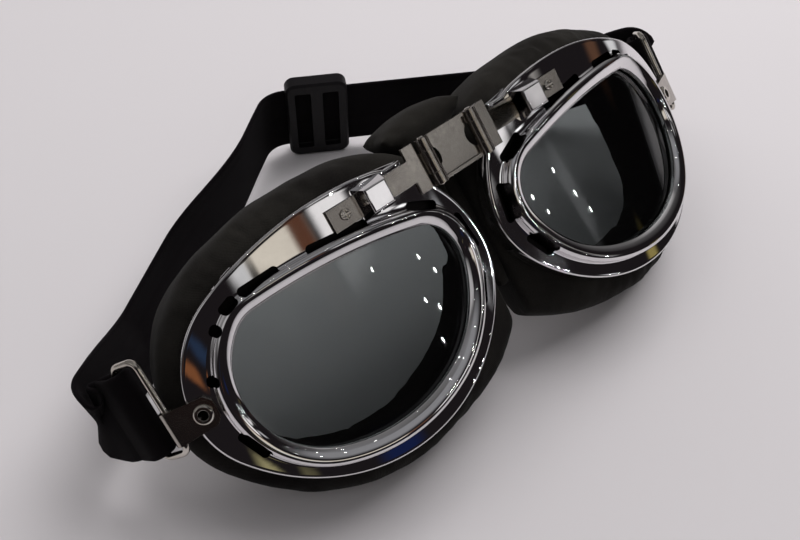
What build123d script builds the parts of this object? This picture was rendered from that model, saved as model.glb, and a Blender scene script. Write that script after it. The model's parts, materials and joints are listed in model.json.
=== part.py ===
from build123d import *
from math import asin, atan2, cos, degrees, radians, sin, tan
import os

os.makedirs("parts", exist_ok=True)

# Aviator goggles, in millimetres, lying as in the photograph: the front leans back on the cushions'
# lower edge and the strap stands on its edge behind. X runs from the wearer's right to their left,
# the front looks towards -Y and up, and Z=0 is the table.
# Everything is built for the side at +X and mirrored for the other.

# How the goggles lie
lean_angle = 45
face_height = 44.7
face_back = -36.52

# The two eye frames
lens_half_spacing = 45.1
lens_drop = 4.8
wrap_angle = 9.1
base_radius = 133.0
flange_thickness = 2.0
skirt_depth = 4.2
skirt_wall = 1.5
bezel_width = 4.6
bezel_height = 3.0
bezel_round = 1.3
land_width = 2.3
land_drop = 1.7
slab_reach = 60.0

# The lens opening and the flange, as closed chains of tangent arcs: the first point, then the radius of
# each arc between one direction of the outward normal and the next. The last two radii close the chain.
opening_start = (33.0, 4.5)
opening_angles = (5, 50, 85, 105, 155, 195, 245, 290)
opening_radii = (21.0, 9.0, 133.0, 9.5, 13.0, 31.5)
flange_start = (44.5, -1.5)
flange_angles = (-10, 65, 100, 125, 175, 195, 215, 325)
flange_radii = (27.5, 82.5, 16.0, 35.0, 22.5, 28.5)

# The tab of the brow, on the nose side
tab_tip = 29.4
tab_root = 12.0
tab_low = 25.4
tab_high = 33.3

# Vents in the corner between flange and bezel: direction of the outward normal and the slot's length
vent_width = 2.4
vent_inset = 0.9
vent_short = 3.0
vent_mid = 5.0
vent_long = 9.0
vent_side = 11.0
vent_brow = 17.0
vents = (
    (87, vent_side),
    (96, vent_brow),
    (115, vent_long),
    (172, vent_side),
    (208, vent_long),
    (68, vent_mid),
    (45, vent_short),
    (18, vent_short),
    (338, vent_long),
)

# Lens, seal and the rim that holds them
lens_margin = 1.5
lens_thickness = 1.6
seal_thickness = 0.6
seal_width = 1.2
fit_gap = 0.1
retainer_margin = 0.4

# Cushions: an outline of their own, since they stand out most beside the nose, below the bridge
cushion_start = (49.3, -2.0)
cushion_angles = (-10, 65, 100, 125, 175, 205, 235, 280, 325)
cushion_radii = (33.6, 84.6, 24.8, 48.4, 28.9, 31.8, 63.9)
cushion_depth = 21.2
cushion_inset = 3.0
cushion_front_round = 4.0
cushion_back_round = 8.0
cushion_eye_round = 3.5
soft_gap = 0.3

# Hinge between each arm and the link
pin_half_spacing = 8.2
pin_radius = 0.9
pin_length = 13.2
running_gap = 0.06
knuckle_wall = 0.9
knuckle_side_gap = 0.15
fold_in = 12

# Arms that slide in the brow
arm_height = 29.1
arm_seat = 20.0
arm_width = 5.8
arm_thickness = 1.0
arm_head_width = 12.4
arm_head_length = 3.6
arm_head_gap = 0.5
arm_end = 5.2
arm_rise = 0.3
slot_gap = 0.15
slot_end_gap = 0.4
slide_travel = 2.5

# Guide block over each arm
guide_length = 9.0
guide_width = 8.7
guide_height = 4.4
guide_taper = 16
guide_round = 0.5
guide_seat = 0.3
guide_from_end = 8.4

# Stop screw at each arm's end
screw_head_radius = 1.4
screw_head_height = 0.8
screw_shank_radius = 0.7
screw_slot_width = 0.4
screw_slot_depth = 0.35

# Centre link
link_width = 12.4
link_thickness = 1.0
link_notch_radius = 3.7
link_lip_height = 0.9
link_lip_width = 0.9

# Strap brackets
bracket_out = 41.9
bracket_height = 4.9
bracket_thickness = 0.8
bracket_width = 9.2
bracket_tip_width = 6.0
bracket_inner = 3.4
bracket_shoulder = 1.8
bracket_outer = 8.0
eyelet_radius = 2.5
eyelet_bore = 1.3
eyelet_barrel = 1.8
eyelet_lip = 0.8
eyelet_back_lip = 0.4
eyelet_back_radius = 2.1

# Wire rings
wire_radius = 0.9
ring_side_gap = 0.4
ring_reach = 8.0
ring_corner = 2.2
ring_slid_up = 6.0
ring_swing_rest = 32

# Strap
strap_width = 23.0
strap_thickness = 1.6
strap_loop_room = 1.2
strap_lap = 6.0
strap_fold_reach = 20.0
strap_fold_radius = 4.0
strap_fold_height = 25.0
strap_fold_shares = (0.12, 0.27, 0.96)
strap_apex = 98.0
strap_apex_radius = 9.0
strap_settle = 45.0
strap_upright_share = 0.3

# Strap slider
slider_length = 20.0
slider_height = 30.0
slider_wall = 1.6
slider_gap = 0.35
slider_round = 3.2
slider_edge_cut = 0.7
slider_from_apex = 15.5
slider_window = 5.2
slider_window_pitch = 9.0

# Nose cushion
nose_top_width = 40.0
nose_top = 32.0
nose_crest = 36.0
nose_bottom = -18.0
nose_neck_width = 10.0
nose_front = 5.0
nose_depth = 15.0
nose_boss_width = 8.0
nose_boss_length = 10.0

cut_reach = 300.0


# Places

def lean(x, up, front):
    """Turn a place on the goggles, given to the side, up and to the front, into the table's frame."""
    return Vector(
        x,
        face_back + up * sin(radians(lean_angle)) - front * cos(radians(lean_angle)),
        face_height + up * cos(radians(lean_angle)) + front * sin(radians(lean_angle)),
    )


up_way = lean(0, 1, 0) - lean(0, 0, 0)
front_way = lean(0, 0, 1) - lean(0, 0, 0)
side_way = Vector(1, 0, 0)


def turned(angle):
    """The outward and front directions after turning back by an angle about the goggles' upright."""
    out = side_way * cos(radians(angle)) - front_way * sin(radians(angle))
    return out, side_way * sin(radians(angle)) + front_way * cos(radians(angle))


lens_out, lens_front = turned(wrap_angle)
lens_centre = lean(lens_half_spacing, -lens_drop, 0)
lens_plane = Plane(origin=lens_centre, x_dir=lens_out, z_dir=lens_front)
wrap_plane = Plane(origin=lens_centre, x_dir=lens_out, z_dir=-up_way)


def surface_plane(out, height):
    """A plane that touches the flange's front at a distance outward from the lens centre."""
    angle = degrees(asin(out / base_radius))
    place = lens_centre + lens_out * out + up_way * height
    place = place - lens_front * (base_radius * (1 - cos(radians(angle))))
    across, normal = turned(wrap_angle + angle)
    return Plane(origin=place, x_dir=across, z_dir=normal)


# Outlines

def chain(start, angles, radii, grow=0):
    """Centre, radius, first direction and turn of each arc of a closed chain, grown outward."""
    directions = [Vector(cos(radians(a)), sin(radians(a))) for a in angles]
    directions.append(directions[0])
    steps = [b - a for a, b in zip(directions, directions[1:])]
    rest = Vector(0, 0)
    for radius, step in zip(radii, steps):
        rest = rest - step * radius
    one, two = steps[-2], steps[-1]
    whole = one.X * two.Y - one.Y * two.X
    last = [(rest.X * two.Y - rest.Y * two.X) / whole, (one.X * rest.Y - one.Y * rest.X) / whole]
    point = Vector(*start)
    arcs = []
    turns = [(b - a) % 360 for a, b in zip(angles, angles[1:] + angles[:1])]
    for radius, direction, step, angle, turn in zip(list(radii) + last, directions, steps, angles, turns):
        arcs.append((point - direction * radius, radius + grow, angle, turn))
        point = point + step * radius
    return arcs


def outline(start, angles, radii, grow=0):
    """A flat face inside a chain of arcs."""
    with BuildSketch() as flat:
        with BuildLine():
            for centre, radius, angle, turn in chain(start, angles, radii, grow):
                CenterArc(centre, radius, angle, turn)
        make_face()
    return flat.sketch


def opening(grow=0):
    return outline(opening_start, opening_angles, opening_radii, grow)


def flange(grow=0):
    return outline(flange_start, flange_angles, flange_radii, grow)


def cushion_edge(grow=0):
    return outline(cushion_start, cushion_angles, cushion_radii, grow)


def curved_slab(face, low, high, hole=None):
    """A face made solid between two depths under the curved front of the flange."""
    with BuildPart() as slab:
        with BuildSketch(lens_plane.offset(-slab_reach)):
            add(face)
            if hole is not None:
                add(hole, mode=Mode.SUBTRACT)
        extrude(amount=2 * slab_reach)
        with BuildSketch(wrap_plane):
            with Locations((0, -base_radius)):
                Circle(base_radius + high)
                Circle(base_radius + low, mode=Mode.SUBTRACT)
        extrude(amount=slab_reach, both=True, mode=Mode.INTERSECT)
    return slab.part


def write(piece, name):
    """Label a piece of the side at +X, write it, and write its mirror image for the other side."""
    piece.label = "left_" + name
    export_step(piece, "parts/left_" + name + ".step")
    with BuildPart() as other:
        mirror(piece, about=Plane.YZ)
    other.part.label = "right_" + name
    export_step(other.part, "parts/right_" + name + ".step")


# Planes of the arm and the hinge. The pin stands in front of the arm by the knuckle's bore.
arm_plane = surface_plane(-arm_seat, arm_height)
knuckle_bore = pin_radius + running_gap
knuckle_radius = knuckle_bore + knuckle_wall
pin_rise = arm_rise - arm_thickness + knuckle_radius
pin_along = (pin_half_spacing - arm_plane.origin.X - pin_rise * arm_plane.z_dir.X) / arm_plane.x_dir.X
pin_centre = arm_plane.origin + arm_plane.x_dir * pin_along + arm_plane.z_dir * pin_rise
arm_tip = arm_seat - arm_end
guide_centre = arm_tip - guide_from_end - guide_length / 2
arm_floor = arm_rise - arm_thickness - slot_gap
head_middle = pin_along + knuckle_radius + arm_head_gap + arm_head_length / 2

# Eye frame: flange, skirt, bezel with its rounded crest and sloping land, tab, slot and vents

with BuildPart() as bezel:
    add(curved_slab(opening(bezel_width), -flange_thickness, bezel_height, opening()))
    crest = bezel.faces().sort_by(Axis(lens_centre, lens_front))[-1]
    fillet(crest.outer_wire().edges(), bezel_round)
    crest = bezel.faces().sort_by(Axis(lens_centre, lens_front))[-1]
    chamfer(crest.inner_wires()[0].edges(), land_drop, land_width, reference=crest)

with BuildSketch() as tab_face:
    with Locations((-(tab_tip + tab_root) / 2, (tab_low + tab_high) / 2)):
        Rectangle(tab_tip - tab_root, tab_high - tab_low)

bracket_plane = surface_plane(bracket_out, bracket_height)

with BuildPart() as frame:
    add(curved_slab(flange(), -flange_thickness, 0, opening()))
    add(curved_slab(flange(), -skirt_depth, -flange_thickness, flange(-skirt_wall)))
    add(curved_slab(tab_face.sketch, -flange_thickness, 0))
    add(bezel.part)
    add(curved_slab(opening(lens_margin + fit_gap), -skirt_depth, 0), mode=Mode.SUBTRACT)
    with BuildSketch(arm_plane.offset(arm_floor)):
        with Locations(((pin_along + arm_tip + slot_end_gap) / 2, 0)):
            Rectangle(arm_tip + slot_end_gap - pin_along, arm_width + 2 * slot_gap)
        with Locations((head_middle, 0)):
            Rectangle(arm_head_length + 2 * slot_gap, arm_head_width + 2 * slot_gap)
    extrude(amount=guide_height, mode=Mode.SUBTRACT)
    with BuildSketch(bracket_plane):
        Circle(eyelet_barrel + fit_gap)
    extrude(amount=guide_height, both=True, mode=Mode.SUBTRACT)
    with BuildSketch(bracket_plane.offset(-flange_thickness)):
        Circle(eyelet_back_radius + fit_gap)
    extrude(amount=-guide_height, mode=Mode.SUBTRACT)
    for angle, length in vents:
        arcs = chain(opening_start, opening_angles, opening_radii, bezel_width)
        centre, radius, first, turn = next(a for a in arcs if (angle - a[2]) % 360 <= a[3])
        normal = Vector(cos(radians(angle)), sin(radians(angle)))
        place = centre + normal * (radius + vent_width / 2 - vent_inset)
        with BuildSketch(lens_plane.offset(-slab_reach / 2)):
            with Locations(Location((place.X, place.Y, 0), (0, 0, angle + 90))):
                SlotOverall(length, vent_width)
        extrude(amount=slab_reach / 2 + bezel_height / 2, mode=Mode.SUBTRACT)

write(frame.part, "frame")

# Lens, the seal in front of it and the rim behind it that the cushion is fixed to

lens_back = seal_thickness + lens_thickness

with BuildPart() as lens:
    add(curved_slab(opening(lens_margin), -lens_back, -seal_thickness))
write(lens.part, "lens")

with BuildPart() as seal:
    add(curved_slab(opening(lens_margin), -seal_thickness, 0, opening(lens_margin - seal_width)))
write(seal.part, "lens_seal")

with BuildPart() as retainer:
    rim = flange(-(skirt_wall + fit_gap))
    add(curved_slab(rim, -skirt_depth, -lens_back, opening(retainer_margin)))
    with BuildSketch(bracket_plane):
        Circle(eyelet_radius + fit_gap)
    extrude(amount=guide_height, both=True, mode=Mode.SUBTRACT)
write(retainer.part, "lens_retainer")

# Cushion: a crowned ring with drawn-in edges, clipped where the two meet behind the hinge

pin_front = (pin_centre - lean(0, 0, 0)).dot(front_way)
pin_up = (pin_centre - lean(0, 0, 0)).dot(up_way)
cushion_back = skirt_depth + cushion_depth


def meeting_plane(inset):
    """The plane that a cushion may reach, so that the frames can fold towards the face."""
    away = side_way * cos(radians(fold_in)) + front_way * sin(radians(fold_in))
    return Plane(origin=lean(inset, 0, pin_front), x_dir=up_way, z_dir=-away)


with BuildPart() as cushion:
    add(curved_slab(cushion_edge(), -cushion_back, -skirt_depth, opening(cushion_inset)))
    across_lens = Axis(lens_centre, lens_front)
    front_face = cushion.faces().sort_by(across_lens)[-1]
    fillet(front_face.outer_wire().edges(), cushion_front_round)
    back_face = cushion.faces().filter_by(lambda f: len(f.inner_wires()) == 1).sort_by(across_lens)[0]
    eye_rim = back_face.inner_wires()[0].edges()
    fillet(back_face.outer_wire().edges(), cushion_back_round)
    fillet(eye_rim, cushion_eye_round)
    with BuildSketch(meeting_plane(soft_gap)):
        Rectangle(cut_reach, cut_reach)
    extrude(amount=cut_reach, mode=Mode.SUBTRACT)
    with BuildSketch(Plane.XY):
        Rectangle(cut_reach, cut_reach)
    extrude(amount=-cut_reach, mode=Mode.SUBTRACT)
write(cushion.part, "cushion")

# Guide block: bevelled, with a tunnel for the arm, its foot shaped to the flange

guide_rise = (guide_height - guide_seat) / 2
guide_middle = arm_plane.origin + arm_plane.x_dir * guide_centre + arm_plane.z_dir * guide_rise

with BuildPart() as guide:
    with BuildSketch(Plane(origin=guide_middle, x_dir=arm_plane.x_dir, z_dir=-up_way)):
        Trapezoid(guide_length, guide_height + guide_seat, 90 - guide_taper)
    extrude(amount=guide_width, both=True)
    with BuildSketch(Plane(origin=guide_middle, x_dir=up_way, z_dir=arm_plane.x_dir)):
        Trapezoid(guide_width, guide_height + guide_seat, 90 - guide_taper)
    extrude(amount=guide_length, both=True, mode=Mode.INTERSECT)
    top = guide.faces().sort_by(Axis(arm_plane.origin, arm_plane.z_dir))[-1]
    fillet(top.edges(), guide_round)
    add(frame.part, mode=Mode.SUBTRACT)
    with BuildSketch(arm_plane.offset(-guide_seat)):
        with Locations((guide_centre, 0)):
            Rectangle(2 * guide_length, arm_width + 2 * slot_gap)
    extrude(amount=guide_seat + arm_rise + slot_gap, mode=Mode.SUBTRACT)
write(guide.part, "guide_block")

# Arm: a flat tongue with a stop screw, a wide head and a knuckle rolled round the hinge pin

screw_along = arm_tip - guide_from_end + slide_travel + screw_head_radius + slot_gap
pin_plane = Plane(origin=pin_centre, x_dir=arm_plane.x_dir, z_dir=up_way)

with BuildPart() as arm:
    with BuildSketch(arm_plane.offset(arm_rise - arm_thickness)):
        with Locations(((pin_along + arm_tip) / 2, 0)):
            Rectangle(arm_tip - pin_along, arm_width)
        with Locations((head_middle, 0)):
            Rectangle(arm_head_length, arm_head_width)
        with Locations((screw_along, 0)):
            Circle(screw_shank_radius + running_gap, mode=Mode.SUBTRACT)
    extrude(amount=arm_thickness)
    with BuildSketch(pin_plane):
        Circle(knuckle_radius)
    extrude(amount=arm_width / 2, both=True)
    with BuildSketch(pin_plane):
        Circle(knuckle_bore)
    extrude(amount=arm_width, both=True, mode=Mode.SUBTRACT)
write(arm.part, "arm")

with BuildPart() as screw:
    with BuildSketch(arm_plane.offset(arm_rise)):
        with Locations((screw_along, 0)):
            Circle(screw_head_radius)
    extrude(amount=screw_head_height)
    chamfer(screw.faces().sort_by(Axis(arm_plane.origin, arm_plane.z_dir))[-1].edges(), screw_slot_depth)
    with BuildSketch(arm_plane.offset(arm_rise)):
        with Locations((screw_along, 0)):
            Circle(screw_shank_radius)
    extrude(amount=-arm_thickness)
    with BuildSketch(arm_plane.offset(arm_rise + screw_head_height)):
        with Locations((screw_along, 0)):
            Rectangle(2 * screw_head_radius, screw_slot_width)
            Rectangle(screw_slot_width, 2 * screw_head_radius)
    extrude(amount=-screw_slot_depth, mode=Mode.SUBTRACT)
write(screw.part, "stop_screw")

# Centre link: a plate with a half-round notch at each pin, turned-up lips and two knuckles a side

link_plane = Plane(origin=lean(0, pin_up, pin_front), x_dir=side_way, z_dir=front_way)
knuckle_inner = arm_width / 2 + knuckle_side_gap
knuckle_length = link_width / 2 - knuckle_inner
link_low = running_gap - knuckle_radius

with BuildPart() as link:
    with BuildSketch(link_plane.offset(link_low)):
        Rectangle(2 * pin_half_spacing, link_width)
        with GridLocations(2 * pin_half_spacing, 0, 2, 1):
            Circle(link_notch_radius, mode=Mode.SUBTRACT)
    extrude(amount=link_thickness)
    lip_length = 2 * pin_half_spacing - knuckle_radius - knuckle_bore
    with BuildSketch(link_plane.offset(link_low)):
        with GridLocations(0, link_width - link_lip_width, 1, 2):
            Rectangle(lip_length, link_lip_width)
    extrude(amount=link_thickness + link_lip_height)
    for side in (-1, 1):
        for end in (-1, 1):
            foot = lean(side * pin_half_spacing, pin_up + end * knuckle_inner, pin_front)
            with BuildSketch(Plane(origin=foot, x_dir=side_way, z_dir=up_way * end)):
                Circle(knuckle_radius)
            extrude(amount=knuckle_length)
        axle = lean(side * pin_half_spacing, pin_up, pin_front)
        with BuildSketch(Plane(origin=axle, x_dir=side_way, z_dir=up_way)):
            Circle(knuckle_bore)
        extrude(amount=link_width, both=True, mode=Mode.SUBTRACT)
link.part.label = "bridge_link"
export_step(link.part, "parts/bridge_link.step")

with BuildPart() as pin:
    with BuildSketch(pin_plane):
        Circle(pin_radius)
    extrude(amount=pin_length / 2, both=True)
    chamfer(pin.edges().filter_by(GeomType.CIRCLE), running_gap * 4)
write(pin.part, "hinge_pin")

# Strap bracket, riveted to the temple by an eyelet and rolled round the wire ring

plate_top = slot_gap + bracket_thickness
roll_bore = wire_radius + fit_gap
roll_radius = roll_bore + bracket_thickness
roll_place = bracket_plane.x_dir * bracket_outer + bracket_plane.z_dir * (plate_top - roll_radius)
roll_plane = Plane(origin=bracket_plane.origin + roll_place, x_dir=bracket_plane.x_dir, z_dir=up_way)

with BuildPart() as bracket:
    with BuildSketch(bracket_plane.offset(slot_gap)):
        with BuildLine():
            Polyline(
                (bracket_outer, -bracket_width / 2),
                (-bracket_shoulder, -bracket_tip_width / 2 - bracket_shoulder / 2),
                (-bracket_inner, -bracket_tip_width / 2 + bracket_shoulder / 2),
                (-bracket_inner, bracket_tip_width / 2 - bracket_shoulder / 2),
                (-bracket_shoulder, bracket_tip_width / 2 + bracket_shoulder / 2),
                (bracket_outer, bracket_width / 2),
                close=True,
            )
        make_face()
        Circle(eyelet_barrel + fit_gap, mode=Mode.SUBTRACT)
    extrude(amount=bracket_thickness)
    with BuildSketch(roll_plane):
        Circle(roll_radius)
    extrude(amount=bracket_width / 2, both=True)
    with BuildSketch(roll_plane):
        Circle(roll_bore)
    extrude(amount=bracket_width, both=True, mode=Mode.SUBTRACT)
write(bracket.part, "strap_bracket")

with BuildPart() as eyelet:
    with BuildSketch(bracket_plane.offset(plate_top)):
        Circle(eyelet_radius)
    extrude(amount=eyelet_lip)
    lip = eyelet.faces().sort_by(Axis(bracket_plane.origin, bracket_plane.z_dir))[-1]
    chamfer(lip.edges(), eyelet_lip / 2)
    with BuildSketch(bracket_plane.offset(plate_top)):
        Circle(eyelet_barrel)
    extrude(amount=-(plate_top + flange_thickness + slot_gap))
    with BuildSketch(bracket_plane.offset(-flange_thickness - slot_gap)):
        Circle(eyelet_back_radius)
    extrude(amount=-eyelet_back_lip)
    with BuildSketch(bracket_plane):
        Circle(eyelet_bore)
    extrude(amount=guide_height, both=True, mode=Mode.SUBTRACT)
write(eyelet.part, "eyelet")

# Wire ring, swung back as the strap pulls it and slid up in the bracket's roll

bracket_angle = wrap_angle + degrees(asin(bracket_out / base_radius))
ring_out, ring_front = turned(bracket_angle + ring_swing_rest)
ring_near = roll_plane.origin + up_way * ring_slid_up
ring_plane = Plane(origin=ring_near, x_dir=ring_out, z_dir=ring_front)
ring_half = strap_width / 2 + ring_side_gap + wire_radius

with BuildPart() as ring:
    straight = ring_half - ring_corner
    with BuildLine(ring_plane) as wire:
        Line((0, 0), (0, straight))
        CenterArc((ring_corner, straight), ring_corner, 180, -90)
        Line((ring_corner, ring_half), (ring_reach - ring_corner, ring_half))
        CenterArc((ring_reach - ring_corner, straight), ring_corner, 90, -90)
        Line((ring_reach, straight), (ring_reach, -straight))
        CenterArc((ring_reach - ring_corner, -straight), ring_corner, 0, -90)
        Line((ring_reach - ring_corner, -ring_half), (ring_corner, -ring_half))
        CenterArc((ring_corner, -straight), ring_corner, 270, -90)
        Line((0, -straight), (0, 0))
    with BuildSketch(Plane(origin=ring_near, x_dir=ring_out, z_dir=up_way)):
        Circle(wire_radius)
    sweep(path=wire.wire())
write(ring.part, "wire_ring")

# Strap: a sewn loop round each ring, then the band, which folds back, twists upright and meets behind

loop_centre = ring_near + ring_out * ring_reach
loop_bore = wire_radius + strap_loop_room
loop_plane = Plane(origin=loop_centre, x_dir=ring_out, z_dir=up_way)

with BuildSketch() as loop_hole:
    Circle(loop_bore)
    with Locations((loop_bore + strap_thickness, 0)):
        Circle(fit_gap)
    make_hull()

with BuildPart() as loop:
    with BuildSketch(loop_plane):
        Circle(loop_bore + strap_thickness)
        with Locations((strap_lap - strap_thickness / 2, 0)):
            Rectangle(strap_thickness, 2 * strap_thickness)
        make_hull()
        add(loop_hole.sketch, mode=Mode.SUBTRACT)
    extrude(amount=strap_width / 2, both=True)
write(loop.part, "strap_loop")


def smooth(share):
    """A share from 0 to 1 with a soft start and end."""
    share = max(0, min(1, share))
    return share * share * (3 - 2 * share)


def heading(angle):
    return Vector(cos(radians(angle)), sin(radians(angle)), 0)


def aside(angle):
    """The way to the right of a heading, seen from above."""
    return Vector(sin(radians(angle)), -cos(radians(angle)), 0)


# In plan the band leaves the loop, turns through the fold and runs straight to the rounding behind
band_start = loop_centre + ring_out * (strap_lap + soft_gap)
first_heading = degrees(atan2(ring_out.Y, ring_out.X))
first_run = (strap_fold_reach - ring_reach - strap_lap) * Vector(ring_out.X, ring_out.Y, 0).length
fold_centre = Vector(band_start.X, band_start.Y, 0) + heading(first_heading) * first_run
fold_centre = fold_centre - aside(first_heading) * strap_fold_radius
apex_centre = Vector(0, face_back + strap_apex - strap_apex_radius, 0)
between = apex_centre - fold_centre
run_slant = asin((strap_fold_radius - strap_apex_radius) / between.length)
run_heading = degrees(atan2(between.Y, between.X) + run_slant)
run_length = between.dot(heading(run_heading))
fold_turn = radians(run_heading - first_heading) * strap_fold_radius
apex_turn = radians(180 - run_heading) * strap_apex_radius


def band_place(along, side):
    """Middle of the band and its upright way at a length along it, measured from the loop in plan."""
    after_run = along - first_run - fold_turn - run_length
    if along <= first_run:
        place = Vector(band_start.X, band_start.Y, 0) + heading(first_heading) * along
    elif along <= first_run + fold_turn:
        angle = first_heading + degrees((along - first_run) / strap_fold_radius)
        place = fold_centre + aside(angle) * strap_fold_radius
    elif after_run <= 0:
        place = apex_centre + aside(run_heading) * strap_apex_radius + heading(run_heading) * after_run
    else:
        angle = run_heading + degrees(after_run / strap_apex_radius)
        place = apex_centre + aside(angle) * strap_apex_radius
    middle = first_run + fold_turn / 2
    fall = ring_out.Z / Vector(ring_out.X, ring_out.Y, 0).length
    settled = smooth((apex_turn - after_run) / strap_settle) if side < 0 else 0
    back = slider_height / 2 * (1 - settled) + strap_width / 2 * settled
    to_fold = smooth((along - first_run / 2) / (middle - first_run / 2))
    to_back = smooth((along - middle) / (strap_upright_share * run_length))
    height = (band_start.Z + fall * along) * (1 - to_fold) + strap_fold_height * to_fold
    height = height * (1 - to_back) + back * to_back
    upright = up_way * (1 - to_fold) + Vector(*strap_fold_shares) * to_fold
    upright = upright * (1 - to_back) + Vector(0, 0, 1) * to_back
    return Vector(place.X * side, place.Y, height), Vector(upright.X * side, upright.Y, upright.Z)


stations = [first_run * step / 2 for step in range(2)]
stations += [first_run + fold_turn * step / 6 for step in range(6)]
stations += [first_run + fold_turn + strap_upright_share * run_length * step / 5 for step in range(5)]
run_left = (1 - strap_upright_share) * run_length
stations += [first_run + fold_turn + run_length - run_left * (1 - step / 4) for step in range(4)]
stations += [first_run + fold_turn + run_length + apex_turn * step / 3 for step in range(4)]
middles = [band_place(along, 1) for along in stations]
middles += [band_place(along, -1) for along in reversed(stations[:-1])]

with BuildPart() as strap:
    for number, (place, upright) in enumerate(middles):
        before = middles[max(0, number - 1)][0]
        after = middles[min(len(middles) - 1, number + 1)][0]
        way = (after - before).normalized()
        with BuildSketch(Plane(origin=place, x_dir=upright - way * upright.dot(way), z_dir=way)):
            Rectangle(strap_width, strap_thickness)
    loft(ruled=True)
strap.part.label = "strap"
export_step(strap.part, "parts/strap.step")

# Slider on the straight run beside the rounding: two faces with windows either side of a centre bar

slider_place = apex_centre + aside(run_heading) * strap_apex_radius
slider_place = slider_place - heading(run_heading) * (slider_from_apex - apex_turn)
slider_plane = Plane(
    origin=Vector(slider_place.X, slider_place.Y, slider_height / 2),
    x_dir=-heading(run_heading),
    z_dir=-aside(run_heading),
)
slider_inner = strap_thickness + 2 * slider_gap

with BuildPart() as slider:
    with BuildSketch(slider_plane):
        RectangleRounded(slider_length, slider_height, slider_round)
    extrude(amount=slider_inner / 2 + slider_wall, both=True)
    for way in (-1, 1):
        face = slider.faces().sort_by(Axis(slider_plane.origin, slider_plane.z_dir * way))[-1]
        chamfer(face.edges(), slider_edge_cut)
    with BuildSketch(slider_plane):
        with GridLocations(slider_window_pitch, 0, 2, 1):
            RectangleRounded(slider_window, strap_width, slider_edge_cut)
    extrude(amount=slider_height, both=True, mode=Mode.SUBTRACT)
    with BuildSketch(slider_plane):
        Rectangle(2 * slider_length, strap_width + 2 * slider_gap)
    extrude(amount=slider_inner / 2, both=True, mode=Mode.SUBTRACT)
slider.part.label = "strap_slider"
export_step(slider.part, "parts/strap_slider.step")

# Nose cushion: fills the space that the two cushions leave behind the link

with BuildPart() as room:
    add(curved_slab(cushion_edge(soft_gap), -cushion_back - soft_gap, skirt_depth))
    with BuildSketch(meeting_plane(0)):
        Rectangle(cut_reach, cut_reach)
    extrude(amount=cut_reach, mode=Mode.SUBTRACT)
    mirror(about=Plane.YZ)

with BuildPart() as nose:
    with BuildSketch(Plane(origin=lean(0, 0, -nose_front), x_dir=side_way, z_dir=-front_way)):
        with BuildLine():
            Line((-nose_neck_width / 2, -nose_bottom), (nose_neck_width / 2, -nose_bottom))
            Line((nose_neck_width / 2, -nose_bottom), (nose_top_width / 2, -nose_top))
            ThreePointArc((nose_top_width / 2, -nose_top), (0, -nose_crest), (-nose_top_width / 2, -nose_top))
            Line((-nose_top_width / 2, -nose_top), (-nose_neck_width / 2, -nose_bottom))
        make_face()
    extrude(amount=nose_depth)
    with BuildSketch(link_plane.offset(link_low)):
        Rectangle(nose_boss_width, nose_boss_length)
    extrude(amount=-(pin_front + link_low + nose_front + soft_gap))
    add(room.part, mode=Mode.SUBTRACT)
nose.part.label = "nose_cushion"
export_step(nose.part, "parts/nose_cushion.step")
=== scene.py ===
"""Aviator goggles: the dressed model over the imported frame, in metres, in the frame's own axes."""

import json
import logging
import math
from dataclasses import dataclass, field
from enum import Enum
from typing import Callable, Sequence, Union

import bmesh
import bpy
import numpy as np
from mathutils import Matrix, Vector, noise
from mathutils.bvhtree import BVHTree

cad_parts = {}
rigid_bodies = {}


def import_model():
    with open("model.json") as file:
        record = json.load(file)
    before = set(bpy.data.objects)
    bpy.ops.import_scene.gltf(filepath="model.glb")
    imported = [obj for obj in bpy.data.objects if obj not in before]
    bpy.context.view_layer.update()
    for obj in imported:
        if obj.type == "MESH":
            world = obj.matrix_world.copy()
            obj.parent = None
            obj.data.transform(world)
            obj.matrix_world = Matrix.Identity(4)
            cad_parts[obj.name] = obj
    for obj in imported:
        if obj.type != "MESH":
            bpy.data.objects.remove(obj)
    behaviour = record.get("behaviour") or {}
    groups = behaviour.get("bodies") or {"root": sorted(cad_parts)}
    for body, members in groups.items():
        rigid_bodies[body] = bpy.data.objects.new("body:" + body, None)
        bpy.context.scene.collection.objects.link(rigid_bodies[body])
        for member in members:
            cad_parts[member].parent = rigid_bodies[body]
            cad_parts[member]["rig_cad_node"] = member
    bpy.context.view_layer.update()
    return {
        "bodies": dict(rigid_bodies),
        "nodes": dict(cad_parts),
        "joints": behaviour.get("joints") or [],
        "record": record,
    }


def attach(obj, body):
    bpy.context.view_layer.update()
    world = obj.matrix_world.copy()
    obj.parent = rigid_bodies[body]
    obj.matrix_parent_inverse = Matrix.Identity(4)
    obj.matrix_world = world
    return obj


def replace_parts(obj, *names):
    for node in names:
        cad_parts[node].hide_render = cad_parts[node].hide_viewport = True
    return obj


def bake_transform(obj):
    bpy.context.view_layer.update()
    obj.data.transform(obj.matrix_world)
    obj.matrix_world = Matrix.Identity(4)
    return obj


log = logging.getLogger("goggles")
MM = 0.001
Row = list[Vector]
Value = Union[bpy.types.NodeSocket, float, tuple[float, float, float]]
EYELET = (41.9, 4.9)
CAD_MERGE = 2e-6
LOFT_MERGE = 1e-7


class Side(Enum):
    """The two sides of the goggles, as the wearer has them. The left one lies at +X."""

    LEFT = 1
    RIGHT = -1

    @property
    def word(self) -> str:
        """The word that starts the side's node names."""
        return self.name.lower()


class Weave(Enum):
    """How a fabric's threads run."""

    PLAIN = "plain"
    RIBBED = "ribbed"


# Places and outlines


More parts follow.
